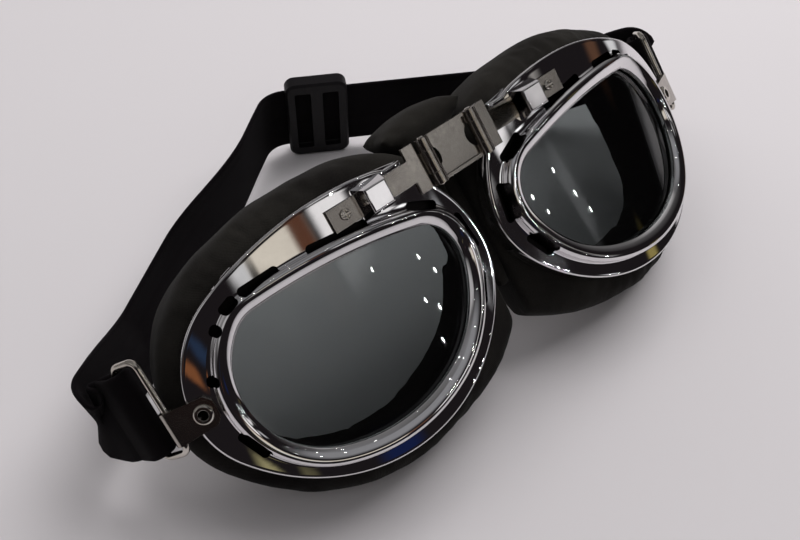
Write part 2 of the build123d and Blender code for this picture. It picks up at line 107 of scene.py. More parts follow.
@dataclass(frozen=True)
class Lie:
    """How the goggles lie on the table: leaning back on the cushions' lower edge."""

    lean: float = 45.0
    face_height: float = 44.7
    face_back: float = -36.52

    def place(self, x: float, up: float, front: float) -> Vector:
        """A place in metres in the frame, from millimetres leftward, up and out of the goggles' front."""
        s, c = math.sin(math.radians(self.lean)), math.cos(math.radians(self.lean))
        return Vector((x, self.face_back + up * s - front * c, self.face_height + up * c + front * s)) * MM

    @property
    def up(self) -> Vector:
        """The goggles' own upright, as a unit direction."""
        return (self.place(0, 1, 0) - self.place(0, 0, 0)) / MM

    @property
    def front(self) -> Vector:
        """The way that the goggles face, as a unit direction."""
        return (self.place(0, 0, 1) - self.place(0, 0, 0)) / MM


@dataclass(frozen=True)
class Shell:
    """The curved front that an eye frame follows, for the side at +X."""

    lie: Lie = Lie()
    half_spacing: float = 45.1
    drop: float = 4.8
    wrap: float = 9.1
    radius: float = 133.0

    def turned(self, angle: float) -> tuple[Vector, Vector]:
        """The outward and front directions after turning back about the upright.

        Args:
            angle: Degrees of turn.

        Returns:
            Two unit directions.
        """
        c, s = math.cos(math.radians(angle)), math.sin(math.radians(angle))
        side = Vector((1, 0, 0))
        return side * c - self.lie.front * s, side * s + self.lie.front * c

    def flat(self, a: float, b: float, n: float) -> Vector:
        """A place given outward, up and to the front from the lens centre.

        Args:
            a: Outward distance.
            b: Upward distance.
            n: Distance to the front.

        Returns:
            The place in metres.
        """
        out, front = self.turned(self.wrap)
        centre = self.lie.place(self.half_spacing, -self.drop, 0)
        return centre + (out * a + self.lie.up * b + front * n) * MM

    def skin(self, a: float, b: float, depth: float) -> Vector:
        """A place over the curved front: outward, up, and its height over the flange's front."""
        return self.flat(a, b, math.sqrt((self.radius + depth) ** 2 - a * a) - self.radius)

    def tangent(self, a: float, b: float) -> Matrix:
        """A frame that touches the curved front: x outward, y up, z to the front.

        Args:
            a: Outward distance of the touching point.
            b: Upward distance of the touching point.

        Returns:
            A matrix from metres in that frame to metres in the goggles' frame.
        """
        out, front = self.turned(self.wrap + math.degrees(math.asin(a / self.radius)))
        turn = Matrix((out, self.lie.up, front)).transposed().to_4x4()
        return Matrix.Translation(self.skin(a, b, 0)) @ turn


def facing(angle: float) -> np.ndarray:
    """The unit direction, outward and up, at an angle in degrees."""
    return np.array((math.cos(math.radians(angle)), math.sin(math.radians(angle))))


@dataclass(frozen=True)
class ArcChain:
    """A closed outline of tangent arcs. The last two radii are worked out so that it closes."""

    start: tuple[float, float]
    angles: tuple[float, ...]
    radii: tuple[float, ...]

    def arcs(self) -> list[tuple[np.ndarray, float, float, float]]:
        """Centre, radius, first direction and turn of each arc.

        Returns:
            One entry for each arc, in order.
        """
        ways = [facing(a) for a in self.angles]
        steps = [ways[(i + 1) % len(ways)] - ways[i] for i in range(len(ways))]
        rest = -sum(r * s for r, s in zip(self.radii, steps))
        last = np.linalg.solve(np.array([steps[-2], steps[-1]]).T, rest)
        point = np.array(self.start, float)
        found = []
        following = self.angles[1:] + self.angles[:1]
        radii = [*self.radii, *last]
        for radius, way, step, a, b in zip(radii, ways, steps, self.angles, following):
            found.append((point - way * radius, float(radius), a, (b - a) % 360))
            point = point + step * radius
        return found

    def at(self, angle: float, grow: float = 0.0) -> np.ndarray:
        """The outline's point whose outward normal has a direction.

        Args:
            angle: Direction of the normal in degrees.
            grow: How far the outline is moved outward.

        Returns:
            The point, outward and up.
        """
        for centre, radius, first, turn in self.arcs():
            if (angle - first) % 360 <= turn + 1e-9:
                return centre + facing(angle) * (radius + grow)
        raise ValueError("no arc holds this direction")

    def directions(self, count: int, turn_share: float = 0.4) -> list[float]:
        """Directions of the normal, spaced by length and by turn together.

        Args:
            count: How many.
            turn_share: The weight of the turn against that of the length.

        Returns:
            The directions in degrees.
        """
        fine = np.linspace(self.angles[0], self.angles[0] + 360, 2881)
        radius_at = np.zeros(len(fine))
        for _, radius, first, turn in self.arcs():
            radius_at[(fine - first) % 360 <= turn] = radius
        speed = turn_share / 360 + (1 - turn_share) * radius_at / (radius_at.mean() * 360)
        total = np.concatenate(([0], np.cumsum((speed[1:] + speed[:-1]) / 2)))
        wanted = np.linspace(0, total[-1], count, endpoint=False)
        return [float(v) for v in np.interp(wanted, total, fine)]


OPENING = ArcChain((33.0, 4.5), (5, 50, 85, 105, 155, 195, 245, 290), (21.0, 9.0, 133.0, 9.5, 13.0, 31.5))
FLANGE = ArcChain((44.5, -1.5), (-10, 65, 100, 125, 175, 195, 215, 325), (27.5, 82.5, 16.0, 35.0, 22.5, 28.5))


# Modelling helpers


def only(obj: bpy.types.Object) -> None:
    """Leave one object selected and active.

    Args:
        obj: The object.
    """
    if bpy.context.mode != "OBJECT":
        bpy.ops.object.mode_set(mode="OBJECT")
    bpy.ops.object.select_all(action="DESELECT")
    obj.select_set(True)
    bpy.context.view_layer.objects.active = obj


def bake(obj: bpy.types.Object, kind: str, **settings: object) -> None:
    """Add a modifier to an object and apply it.

    Args:
        obj: The object.
        kind: The modifier's type.
        settings: The modifier's values by name.
    """
    only(obj)
    modifier = obj.modifiers.new(kind.title(), kind)
    for key, value in settings.items():
        setattr(modifier, key, value)
    bpy.ops.object.modifier_apply(modifier=modifier.name)


def told(piece: bpy.types.Object) -> None:
    """Log a finished piece."""
    log.info("%s: %d faces", piece.name, len(piece.data.polygons))


def smooth_by_angle(obj: bpy.types.Object, angle: float) -> None:
    """Shade an object smooth but for edges sharper than an angle in degrees."""
    only(obj)
    bpy.ops.object.shade_smooth_by_angle(angle=math.radians(angle))


def loft(name: str, rows: Sequence[Row], ring: bool = False, caps: bool = False) -> bpy.types.Object:
    """Extrude a circle through rows of places, and close it.

    Args:
        name: The new object's name.
        rows: Rows of equally many places, each a closed loop.
        ring: Whether the last row is joined to the first.
        caps: Whether the first and last rows are filled.

    Returns:
        The new object, with its normals outward.
    """
    bpy.ops.object.select_all(action="DESELECT")
    fill = "NGON" if caps else "NOTHING"
    bpy.ops.mesh.primitive_circle_add(vertices=len(rows[0]), radius=1, fill_type=fill)
    obj = bpy.context.active_object
    obj.name = obj.data.name = name
    for vertex, place in zip(obj.data.vertices, rows[0]):
        vertex.co = place
    bpy.ops.object.mode_set(mode="EDIT")
    bpy.ops.mesh.select_mode(type="VERT")
    bpy.ops.mesh.select_all(action="SELECT")
    number = {index: index for index in range(len(rows[0]))}
    for row in list(rows[1:]) + ([rows[0]] if ring else []):
        bpy.ops.mesh.extrude_edges_move()
        mesh = bmesh.from_edit_mesh(obj.data)
        mesh.verts.index_update()
        fresh: dict[int, int] = {}
        for vertex in mesh.verts:
            if vertex.select:
                old = next(e.other_vert(vertex) for e in vertex.link_edges if not e.other_vert(vertex).select)
                fresh[vertex.index] = number[old.index]
                vertex.co = row[number[old.index]]
        number = fresh
    if caps:
        bpy.ops.mesh.edge_face_add()
    bpy.ops.mesh.select_all(action="SELECT")
    bpy.ops.mesh.remove_doubles(threshold=LOFT_MERGE)
    bpy.ops.mesh.select_all(action="SELECT")
    bpy.ops.mesh.normals_make_consistent(inside=False)
    bpy.ops.object.mode_set(mode="OBJECT")
    return obj


def merged_copy(node: bpy.types.Object, name: str, flat_within: float = 0.0) -> bpy.types.Object:
    """Copy a CAD node's mesh under a new name, without materials and with its doubles merged.

    Args:
        node: The CAD node's object.
        name: The new object's name.
        flat_within: Faces this near to one plane become one, in degrees.

    Returns:
        The new object.
    """
    obj = bpy.data.objects.new(name, node.data.copy())
    obj.data.name = name
    obj.data.materials.clear()
    bpy.context.scene.collection.objects.link(obj)
    only(obj)
    bpy.ops.object.mode_set(mode="EDIT")
    bpy.ops.mesh.select_all(action="SELECT")
    bpy.ops.mesh.remove_doubles(threshold=CAD_MERGE)
    if flat_within:
        bpy.ops.mesh.select_all(action="SELECT")
        bpy.ops.mesh.dissolve_limited(angle_limit=math.radians(flat_within))
    bpy.ops.object.mode_set(mode="OBJECT")
    return obj


def refined(node: bpy.types.Object, name: str, width: float) -> bpy.types.Object:
    """Copy a rigid CAD piece and break its edges, so that they catch the light.

    Args:
        node: The CAD node's object.
        name: The new object's name.
        width: How wide the broken edges are, in millimetres.

    Returns:
        The new object.
    """
    obj = merged_copy(node, name, flat_within=1.0)
    bake(
        obj, "BEVEL", width=width * MM, segments=3, limit_method="ANGLE",
        angle_limit=math.radians(40), use_clamp_overlap=True, miter_outer="MITER_ARC",
    )
    smooth_by_angle(obj, 42)
    bake(obj, "WEIGHTED_NORMAL", keep_sharp=True, weight=80)
    return obj


def mirrored(obj: bpy.types.Object, name: str) -> bpy.types.Object:
    """Make the other side's copy of a piece.

    Args:
        obj: The piece at +X.
        name: The copy's name.

    Returns:
        The copy, with its own mesh and its faces outward.
    """
    other = obj.copy()
    other.data = obj.data.copy()
    other.name = other.data.name = name
    bpy.context.scene.collection.objects.link(other)
    corners = None
    if obj.data.has_custom_normals:
        corners = [Vector(n.vector) for n in obj.data.corner_normals]
        faces = [(p.loop_start, p.loop_total) for p in obj.data.polygons]
    other.data.transform(Matrix.Scale(-1, 4, (1, 0, 0)))
    other.data.flip_normals()
    if corners is not None:
        turned = [Vector((0, 0, 1))] * len(corners)
        for start, total in faces:
            for step in range(total):
                source = corners[start + (total - step) % total]
                turned[start + step] = Vector((-source.x, source.y, source.z))
        other.data.normals_split_custom_set([tuple(v) for v in turned])
    return other


def reshade(obj: bpy.types.Object, original: bpy.types.Object, angle: float) -> None:
    """Give a cut surface back the smooth normals that it had before the cut.

    Args:
        obj: The object after the cut.
        original: The uncut object.
        angle: Faces turned more than this from the old surface keep their own normals, in degrees.
    """
    source = original.data
    tree = BVHTree.FromPolygons([v.co for v in source.vertices], [list(p.vertices) for p in source.polygons])
    limit = math.cos(math.radians(angle))
    chosen: list[tuple[float, float, float]] = [(0.0, 0.0, 1.0)] * len(obj.data.loops)
    for face in obj.data.polygons:
        for index in face.loop_indices:
            place = obj.data.vertices[obj.data.loops[index].vertex_index].co
            inward = place.lerp(face.center, 0.02)
            near, _, found, _ = tree.find_nearest(inward)
            own = face.normal
            if found is not None:
                weights = [
                    (1 / max(1e-9, (source.vertices[i].co - near).length) ** 2, source.vertices[i].normal)
                    for i in source.polygons[found].vertices
                ]
                old = sum((w * n for w, n in weights), Vector((0, 0, 0))).normalized()
                if old.dot(own) > limit and source.polygons[found].normal.dot(own) > limit:
                    own = old
            chosen[index] = tuple(own)
    for face in obj.data.polygons:
        face.use_smooth = True
    obj.data.normals_split_custom_set(chosen)


# Shader helpers


class Nodes:
    """A short way to build a node tree."""

    def __init__(self, tree: bpy.types.NodeTree) -> None:
        """Keep the tree that is built in."""
        self.tree = tree

    def add(self, kind: str, **values: object) -> bpy.types.Node:
        """Add a node.

        Args:
            kind: The node's type.
            values: Its properties by name.

        Returns:
            The node.
        """
        node = self.tree.nodes.new(kind)
        for key, value in values.items():
            setattr(node, key, value)
        return node

    def give(self, target: bpy.types.NodeSocket, value: Value) -> None:
        """Join a socket to an input, or set the input to a number or a colour.

        Args:
            target: The input.
            value: The socket, number or colour.
        """
        if isinstance(value, bpy.types.NodeSocket):
            self.tree.links.new(value, target)
        else:
            target.default_value = (*value, 1) if isinstance(value, tuple) else value

    def feed(self, node: bpy.types.Node, values: dict[str, Value]) -> None:
        """Give several of a node's inputs their sockets, numbers or colours, by name."""
        for key, value in values.items():
            self.give(node.inputs[key], value)

    def noise(self, vector: bpy.types.NodeSocket, scale: Value, detail: float = 3.0) -> bpy.types.NodeSocket:
        """Noise between 0 and 1.

        Args:
            vector: Where it is read.
            scale: Waves per metre.
            detail: Octaves.

        Returns:
            The noise's value.
        """
        node = self.add("ShaderNodeTexNoise")
        self.feed(node, {"Vector": vector, "Scale": scale, "Detail": detail})
        return node.outputs["Fac"]

    def ranged(
        self, value: bpy.types.NodeSocket, low: float, high: float, a: Value = 0.3, b: float = 0.7,
        kind: str = "LINEAR",
    ) -> bpy.types.NodeSocket:
        """Map a value's range onto another.

        Args:
            value: The value.
            low: Result at and below a.
            high: Result at and above b.
            a: Lower end of the value.
            b: Upper end of the value.
            kind: How it runs between the ends.

        Returns:
            The mapped value.
        """
        node = self.add("ShaderNodeMapRange", interpolation_type=kind)
        self.feed(node, {"Value": value, "From Min": a, "From Max": b, "To Min": low, "To Max": high})
        return node.outputs["Result"]

    def mixed(self, fac: bpy.types.NodeSocket, a: Value, b: Value) -> bpy.types.NodeSocket:
        """Mix two colours.

        Args:
            fac: The share of the second.
            a: The first colour.
            b: The second colour.

        Returns:
            The colour.
        """
        node = self.add("ShaderNodeMix", data_type="RGBA")
        self.give(node.inputs["Factor"], fac)
        for socket, colour in zip([s for s in node.inputs if s.type == "RGBA"], (a, b)):
            self.give(socket, colour)
        return next(s for s in node.outputs if s.type == "RGBA")

    def maths(self, operation: str, *values: Value) -> bpy.types.NodeSocket:
        """Do one sum.

        Args:
            operation: The node's operation.
            values: What goes into it.

        Returns:
            The result.
        """
        node = self.add("ShaderNodeMath", operation=operation)
        for socket, value in zip(node.inputs, values):
            self.give(socket, value)
        return node.outputs[0]

    def axes(self, vector: bpy.types.NodeSocket) -> list[bpy.types.NodeSocket]:
        """Take a vector apart.

        Args:
            vector: The vector.

        Returns:
            Its three numbers.
        """
        node = self.add("ShaderNodeSeparateXYZ")
        self.give(node.inputs[0], vector)
        return list(node.outputs)

    def group(self, name: str, maker: Callable[[], bpy.types.NodeTree], **inputs: Value) -> bpy.types.Node:
        """Place a shared group.

        Args:
            name: The group's name.
            maker: Builds it if it isn't there yet.
            inputs: What its inputs get, by name.

        Returns:
            The group's node.
        """
        node = self.add("ShaderNodeGroup")
        node.node_tree = bpy.data.node_groups.get(name) or maker()
        self.feed(node, inputs)
        return node

    def bump(
        self, shader: bpy.types.Node, height: bpy.types.NodeSocket, strength: float, distance: float,
    ) -> None:
        """Feed a bump into a shader's normal.

        Args:
            shader: The shader.
            height: The height socket.
            strength: The bump's strength.
            distance: The bump's depth in metres.
        """
        node = self.add("ShaderNodeBump")
        self.feed(node, {"Strength": strength, "Distance": distance, "Height": height})
        self.give(shader.inputs["Normal"], node.outputs["Normal"])


def new_group(
    name: str, inputs: dict[str, float], outputs: Sequence[str],
) -> tuple[Nodes, dict[str, bpy.types.NodeSocket], dict[str, bpy.types.NodeSocket]]:
    """Start a shader group.

    Args:
        name: The group's name.
        inputs: Number inputs with their defaults; a Vector input always comes first.
        outputs: Names of the numbers that it puts out.

    Returns:
        The builder, the sockets that the inputs give, and those that the outputs take.
    """
    tree = bpy.data.node_groups.new(name, "ShaderNodeTree")
    tree.interface.new_socket("Vector", in_out="INPUT", socket_type="NodeSocketVector")
    for key, value in inputs.items():
        tree.interface.new_socket(key, in_out="INPUT", socket_type="NodeSocketFloat").default_value = value
    for key in outputs:
        tree.interface.new_socket(key, in_out="OUTPUT", socket_type="NodeSocketFloat")
    build = Nodes(tree)
    start, end = build.add("NodeGroupInput"), build.add("NodeGroupOutput")
    return build, {s.name: s for s in start.outputs}, {s.name: s for s in end.inputs}


def threads_group() -> bpy.types.NodeTree:
    """The height of woven threads, from a flat vector in millimetres.

    Returns:
        The group.
    """
    build, given, wanted = new_group("woven_threads", {"Across": 0.6, "Along": 0.6}, ("Height",))
    waves = []
    for number, pitch in zip(build.axes(given["Vector"]), ("Across", "Along")):
        turns = build.maths("DIVIDE", number, given[pitch])
        waves.append(build.maths("SINE", build.maths("MULTIPLY", turns, 2 * math.pi)))
    height = build.maths("MULTIPLY_ADD", build.maths("MULTIPLY", *waves), 0.5, 0.5)
    build.give(wanted["Height"], height)
    return build.tree


def mottle_group() -> bpy.types.NodeTree:
    """Soft patches with a finer grain in them, for wear, handling marks and dust.

    Returns:
        The group.
    """
    inputs = {"Patch": 60.0, "Grain": 900.0, "Mix": 0.3}
    build, given, wanted = new_group("mottle", inputs, ("Patches", "Grain"))
    patches, grain = [build.noise(given["Vector"], given[key], 4) for key in ("Patch", "Grain")]
    lifted = build.maths("MULTIPLY", grain, given["Mix"])
    build.give(wanted["Patches"], build.maths("ADD", patches, lifted))
    build.give(wanted["Grain"], grain)
    return build.tree


class Finish:
    """Base of every finish: makes its material once and gives it again."""

    name: str = "finish"
    slot: str = "chrome"

    def material(self) -> bpy.types.Material:
        """The finish's material, built on its first use.

        Returns:
            The material.
        """
        found = bpy.data.materials.get(self.name)
        if found is None:
            found = bpy.data.materials.new(self.name)
            found.use_nodes = True
            self.paint(Nodes(found.node_tree), found.node_tree.nodes["Principled BSDF"])
        return found

    def paint(self, build: Nodes, shader: bpy.types.Node) -> None:
        """Set the shader's values and textures.

        Args:
            build: The builder.
            shader: The Principled shader.
        """

    def dress(self, obj: bpy.types.Object) -> bpy.types.Object:
        """Put the finish on a piece.

        Args:
            obj: The piece.

        Returns:
            The same piece.
        """
        obj.data.materials.clear()
        obj.data.materials.append(self.material())
        return obj


@dataclass(frozen=True)
class Metal(Finish):
    """Plated or bare metal with handling marks."""

    name: str = "bright_chrome"
    slot: str = "chrome"
    colour: tuple[float, float, float] = (0.80, 0.79, 0.80)
    dull_colour: tuple[float, float, float] = (0.70, 0.69, 0.70)
    gloss: float = 0.015
    marks: float = 0.07
    grain: float = 700.0
    dents: float = 0.05

    def paint(self, build: Nodes, shader: bpy.types.Node) -> None:
        """Mirror-like metal whose gloss dulls in soft patches."""
        place = build.add("ShaderNodeTexCoord").outputs["Object"]
        mottle = build.group("mottle", mottle_group, Vector=place, Patch=45, Grain=self.grain, Mix=0.25)
        patches = mottle.outputs["Patches"]
        dulled = build.ranged(patches, 0, 1, 0.45, 0.9)
        build.feed(shader, {
            "Metallic": 1,
            "Base Color": build.mixed(dulled, self.colour, self.dull_colour),
            "Roughness": build.ranged(patches, self.gloss, self.marks, 0.45, 0.9),
        })
        build.bump(shader, mottle.outputs["Grain"], self.dents, 0.00002)


@dataclass(frozen=True)
class Tint(Finish):
    """Smoke-grey lens glass."""

    name: str = "smoke_lens"
    slot: str = "lens"
    colour: tuple[float, float, float] = (0.225, 0.25, 0.248)

    def paint(self, build: Nodes, shader: bpy.types.Node) -> None:
        """Clear grey glass with a faint film of dust."""
        place = build.add("ShaderNodeTexCoord").outputs["Object"]
        filmed = tuple(c * 0.93 for c in self.colour)
        build.feed(shader, {
            "Transmission Weight": 1,
            "IOR": 1.5,
            "Roughness": build.ranged(build.noise(place, 130, 5), 0.004, 0.03, 0.45, 0.75),
            "Base Color": build.mixed(build.noise(place, 20, 2), self.colour, filmed),
        })


@dataclass(frozen=True)
class Cloth(Finish):
    """Dark fabric: threads, nap and lint."""

    name: str = "cushion_cloth"
    slot: str = "cushion"
    colour: tuple[float, float, float] = (0.006, 0.0052, 0.005)
    worn: tuple[float, float, float] = (0.024, 0.0225, 0.0195)
    weave: Weave = Weave.PLAIN
    across: float = 0.5
    along: float = 0.5
    sheen: float = 0.035
    depth: float = 0.00012

    def paint(self, build: Nodes, shader: bpy.types.Node) -> None:
        """Threads from the UV map on webbing, and from the object's own axes on a cushion."""
        coords = build.add("ShaderNodeTexCoord").outputs
        source = coords["UV"] if self.weave is Weave.RIBBED else coords["Object"]
        scaled = build.add("ShaderNodeVectorMath", operation="SCALE")
        build.feed(scaled, {"Vector": source, "Scale": 1 / MM})
        threads = build.group(
            "woven_threads", threads_group, Vector=scaled.outputs[0], Across=self.across, Along=self.along,
        )
        mottle = build.group("mottle", mottle_group, Vector=coords["Object"], Patch=35, Grain=2600, Mix=0.35)
        grain = mottle.outputs["Grain"]
        worn = build.ranged(mottle.outputs["Patches"], 0, 1, 0.5, 0.95)
        build.feed(shader, {
            "Base Color": build.mixed(worn, self.colour, self.worn),
            "Roughness": build.ranged(grain, 0.78, 0.95),
            "Sheen Weight": self.sheen,
            "Sheen Roughness": 0.45,
            "Specular IOR Level": 0.07,
        })
        rough = build.maths("MULTIPLY_ADD", grain, 0.5, threads.outputs["Height"])
        build.bump(shader, rough, 0.5, self.depth)


@dataclass(frozen=True)
class Moulded(Finish):
    """Moulded rubber or plastic with a fine grain."""

    name: str = "black_plastic"
    slot: str = "slider"
    colour: tuple[float, float, float] = (0.004, 0.0033, 0.004)
    roughness: float = 0.5
    shine: float = 0.25

    def paint(self, build: Nodes, shader: bpy.types.Node) -> None:
        """Satin plastic with a leather-like grain."""
        place = build.add("ShaderNodeTexCoord").outputs["Object"]
        grain = build.noise(place, 1500, 3)
        lighter = tuple(min(1, c * 1.5) for c in self.colour)
        build.feed(shader, {
            "Roughness": build.ranged(grain, self.roughness - 0.06, self.roughness + 0.1),
            "Base Color": build.mixed(build.noise(place, 150, 3), self.colour, lighter),
            "Specular IOR Level": self.shine,
        })
        build.bump(shader, grain, 0.2, 0.00005)


@dataclass(frozen=True)
class Table(Finish):
    """The pale table top."""

    name: str = "pale_table"
    slot: str = "seal"
    colour: tuple[float, float, float] = (0.66, 0.635, 0.65)

    def paint(self, build: Nodes, shader: bpy.types.Node) -> None:
        """A plain pale laminate."""
        place = build.add("ShaderNodeTexCoord").outputs["Object"]
        darker = tuple(c * 0.97 for c in self.colour)
        build.feed(shader, {
            "Base Color": build.mixed(build.noise(place, 8, 2), self.colour, darker),
            "Roughness": 0.6,
            "Specular IOR Level": 0.2,
        })


CHROME = Metal()
NICKEL = Metal("worn_nickel", "chrome", (0.46, 0.43, 0.39), (0.36, 0.33, 0.30), 0.14, 0.30, 900.0, 0.12)
STEEL = Metal("bright_steel", "steel", (0.66, 0.63, 0.58), (0.52, 0.48, 0.42), 0.10, 0.24, 900.0, 0.10)
LENS = Tint()
CUSHION = Cloth()
STRAP = Cloth("strap_webbing", "strap", (0.0035, 0.0026, 0.0032), (0.0075, 0.006, 0.0072), Weave.RIBBED,
              0.9, 0.7, 0.015, 0.00015)
RUBBER = Moulded("black_rubber", "seal", (0.01, 0.01, 0.01), 0.6)
PLASTIC = Moulded()
RIM = Metal("black_rim", "rim", (0.014, 0.013, 0.013), (0.02, 0.018, 0.018), 0.35, 0.5, 900.0, 0.1)
# Near-black chrome for the cut walls of the vents and of the eyelet's hole: painted shade inside the holes.
HOLE_SHADE = Metal("vent_edge", "chrome", (0.05, 0.045, 0.045), (0.04, 0.035, 0.035), 0.2, 0.4, 900.0, 0.1)


# The goggles


@dataclass
class EyeFrame:
    """The chromed frame round one eye, with its lens, seal and rim."""

    nodes: dict[str, bpy.types.Object]
    shell: Shell = field(default_factory=Shell)
    bezel_width: float = 4.6
    bezel_height: float = 3.0
    land_drop: float = 1.7
    land_crown: float = 1.8
    crest_round: float = 1.3
    lip: tuple[tuple[float, float], ...] = ((0.0, -0.25), (0.08, -0.07), (0.25, 0.08))
    land_rows: tuple[float, ...] = (0.22, 0.34, 0.46, 0.58, 0.7, 0.82, 0.92)
    foot: tuple[tuple[float, float], ...] = ((0.0, 0.9), (0.0, 0.45), (0.06, 0.2), (0.22, 0.05), (0.45, 0.0))
    flange_rows: tuple[float, ...] = (0.15, 0.35, 0.55, 0.75, 0.9)
    rim_edge: tuple[tuple[float, float], ...] = (
        (0.7, 0.0), (0.55, 0.02), (0.4, 0.0), (0.2, -0.1), (0.06, -0.27), (0.0, -0.5), (0.0, -1.9),
    )
    flange_thickness: float = 2.0
    skirt_depth: float = 4.2
    skirt_wall: float = 1.5
    skirt_tuck: float = 0.02
    seat: float = 1.6
    lens_margin: float = 1.5
    lens_front: float = -0.6
    lens_back: float = -2.2
    tab: tuple[float, float, float, float] = (-29.4, -12.0, 25.4, 33.3)
    rim_reach: float = 40.0
    halvings: int = 40
    around: int = 336
    slot_at: tuple[float, float] = (-20.0, 29.1)
    slot_boxes: tuple[tuple[float, float, float], ...] = ((-1.2, 32.8, 6.1), (-12.75, 3.9, 12.7))
    slot_floor: float = -0.85
    slot_depth: float = 7.2
    eyelet_bore: float = 1.9
    eyelet_cut: tuple[float, float] = (-8.0, 4.0)
    vent_back: float = -40.0
    vent_steps: int = 24
    vent_width: float = 2.4
    vent_inset: float = 0.9
    vents: tuple[tuple[float, float], ...] = (
        (87, 11), (96, 17), (115, 9), (172, 11), (208, 9), (68, 5), (45, 3), (18, 3), (338, 9),
    )

    def rim(self, angle: float) -> np.ndarray:
        """Where the flange, with its tab, ends on a line straight out of the bezel.

        Args:
            angle: Direction of the opening's normal in degrees.

        Returns:
            The place, outward and up.
        """
        base = OPENING.at(angle, self.bezel_width)
        way = facing(angle)
        low, high = 0.0, self.rim_reach
        left, right, bottom, top = self.tab
        for _ in range(self.halvings):
            middle = (low + high) / 2
            point = base + way * middle
            in_flange = bool(np.all(((point - self.edge_points) * self.edge_ways).sum(1) <= 1e-9))
            in_tab = left <= point[0] <= right and bottom <= point[1] <= top
            if in_flange or in_tab:
                low = middle
            else:
                high = middle
        return base + way * low

    def rows(self) -> list[Row]:
        """The frame's section all round, from the opening over the front to the back.

        Returns:
            Rows of places that close on themselves.
        """
        ways = OPENING.directions(self.around)
        turns = np.radians(np.arange(0, 360, 0.5))
        self.edge_ways = np.stack((np.cos(turns), np.sin(turns)), 1)
        self.edge_points = np.array([FLANGE.at(a) for a in np.arange(0, 360, 0.5)])
        rims = [self.rim(a) for a in ways]
        corner = np.array((self.tab[0], self.tab[3]))
        nearest = min(range(len(rims)), key=lambda i: float(np.linalg.norm(rims[i] - corner)))
        rims[nearest] = corner
        top, low = self.bezel_height, self.bezel_height - self.land_drop
        profile = [(0.0, 0.0)] + [(grow, low + rise) for grow, rise in self.lip]
        middle = self.bezel_width - self.crest_round
        for share in self.land_rows:
            profile.append((middle * share, top - self.land_drop * (1 - share) ** self.land_crown))
        for step in range(7):
            turn = math.radians(90 * step / 6)
            profile.append((middle + self.crest_round * math.sin(turn),
                            top - self.crest_round * (1 - math.cos(turn))))
        profile += [(self.bezel_width + grow, depth) for grow, depth in self.foot]
        rows = [[self.shell.skin(*OPENING.at(a, grow), depth) for a in ways] for grow, depth in profile]
        inner = [OPENING.at(a, self.bezel_width + self.foot[-1][0]) for a in ways]

        def between(share: float, inset: float, depth: float) -> Row:
            """A row between the bezel's foot and the rim."""
            row = []
            for start, end in zip(inner, rims):
                way = (end - start) / max(1e-9, float(np.linalg.norm(end - start)))
                row.append(self.shell.skin(*(start + (end - way * inset - start) * share), depth))
            return row

        rows += [between(share, *self.rim_edge[0]) for share in self.flange_rows]
        rows += [between(1.0, inset, depth) for inset, depth in self.rim_edge]
        thick, deep, wall = -self.flange_thickness, -self.skirt_depth, -self.skirt_wall
        hidden = [(FLANGE, -self.skirt_tuck, thick), (FLANGE, -self.skirt_tuck, deep), (FLANGE, wall, deep),
                  (FLANGE, wall, thick), (OPENING, self.seat, thick), (OPENING, self.seat, 0.0)]
        for chain, grow, depth in hidden:
            rows.append([self.shell.skin(*chain.at(a, grow), depth) for a in ways])
        return rows

    def cutter(self) -> bpy.types.Object:
        """Everything that is cut out of the frame: the arm's slot, the vents and the eyelet's hole, the last
        two with painted shade on their walls.

        Returns:
            One object of separate solids.
        """
        made = []
        plane = self.shell.tangent(*self.slot_at)
        middle = self.slot_floor + self.slot_depth / 2
        for x, wide, high in self.slot_boxes:
            bpy.ops.object.select_all(action="DESELECT")
            bpy.ops.mesh.primitive_cube_add(size=1)
            box = bpy.context.active_object
            box.data.transform(plane @ Matrix.Translation((x * MM, 0, middle * MM))
                               @ Matrix.Diagonal((wide * MM, high * MM, self.slot_depth * MM, 1)))
            made.append(CHROME.dress(box))
        for angle, length in self.vents:
            place = OPENING.at(angle, self.bezel_width + self.vent_width / 2 - self.vent_inset)
            along = math.radians(angle + 90)
            half, radius = (length - self.vent_width) / 2, self.vent_width / 2
            loop = []
            for step in range(self.vent_steps):
                turn = 2 * math.pi * (step + 0.5) / self.vent_steps
                x, y = radius * math.cos(turn), radius * math.sin(turn)
                x += half if math.cos(turn) > 0 else -half
                loop.append((place[0] + x * math.cos(along) - y * math.sin(along),
                             place[1] + x * math.sin(along) + y * math.cos(along)))
            ends = (self.vent_back, self.bezel_height / 2)
            rows = [[self.shell.flat(a, b, n) for a, b in loop] for n in ends]
            # The vent's cutter carries the near-black finish: painted shade on the vent's walls.
            made.append(HOLE_SHADE.dress(loft("vent_cut", rows, caps=True)))
        eyelet, bore = self.shell.tangent(*EYELET), self.eyelet_bore
        rows = []
        for height in self.eyelet_cut:
            rows.append([eyelet @ (Vector((bore * math.cos(t), bore * math.sin(t), height)) * MM)
                         for t in np.linspace(0, 2 * math.pi, 32, endpoint=False)])
        # The eyelet hole's cutter carries the same near-black finish: painted shade on the hole's walls.
        made.append(HOLE_SHADE.dress(loft("eyelet_cut", rows, caps=True)))
        bpy.ops.object.select_all(action="DESELECT")
        for obj in made:
            obj.select_set(True)
        bpy.context.view_layer.objects.active = made[0]
        bpy.ops.object.join()
        return made[0]

    def build_frame(self) -> bpy.types.Object:
        """Model the chromed frame.

        Returns:
            The frame for the side at +X.
        """
        whole = CHROME.dress(loft("left_eye_frame", self.rows(), ring=True))
        smooth_by_angle(whole, 50)
        cut = whole.copy()
        cut.data = whole.data.copy()
        bpy.context.scene.collection.objects.link(cut)
        tools = self.cutter()
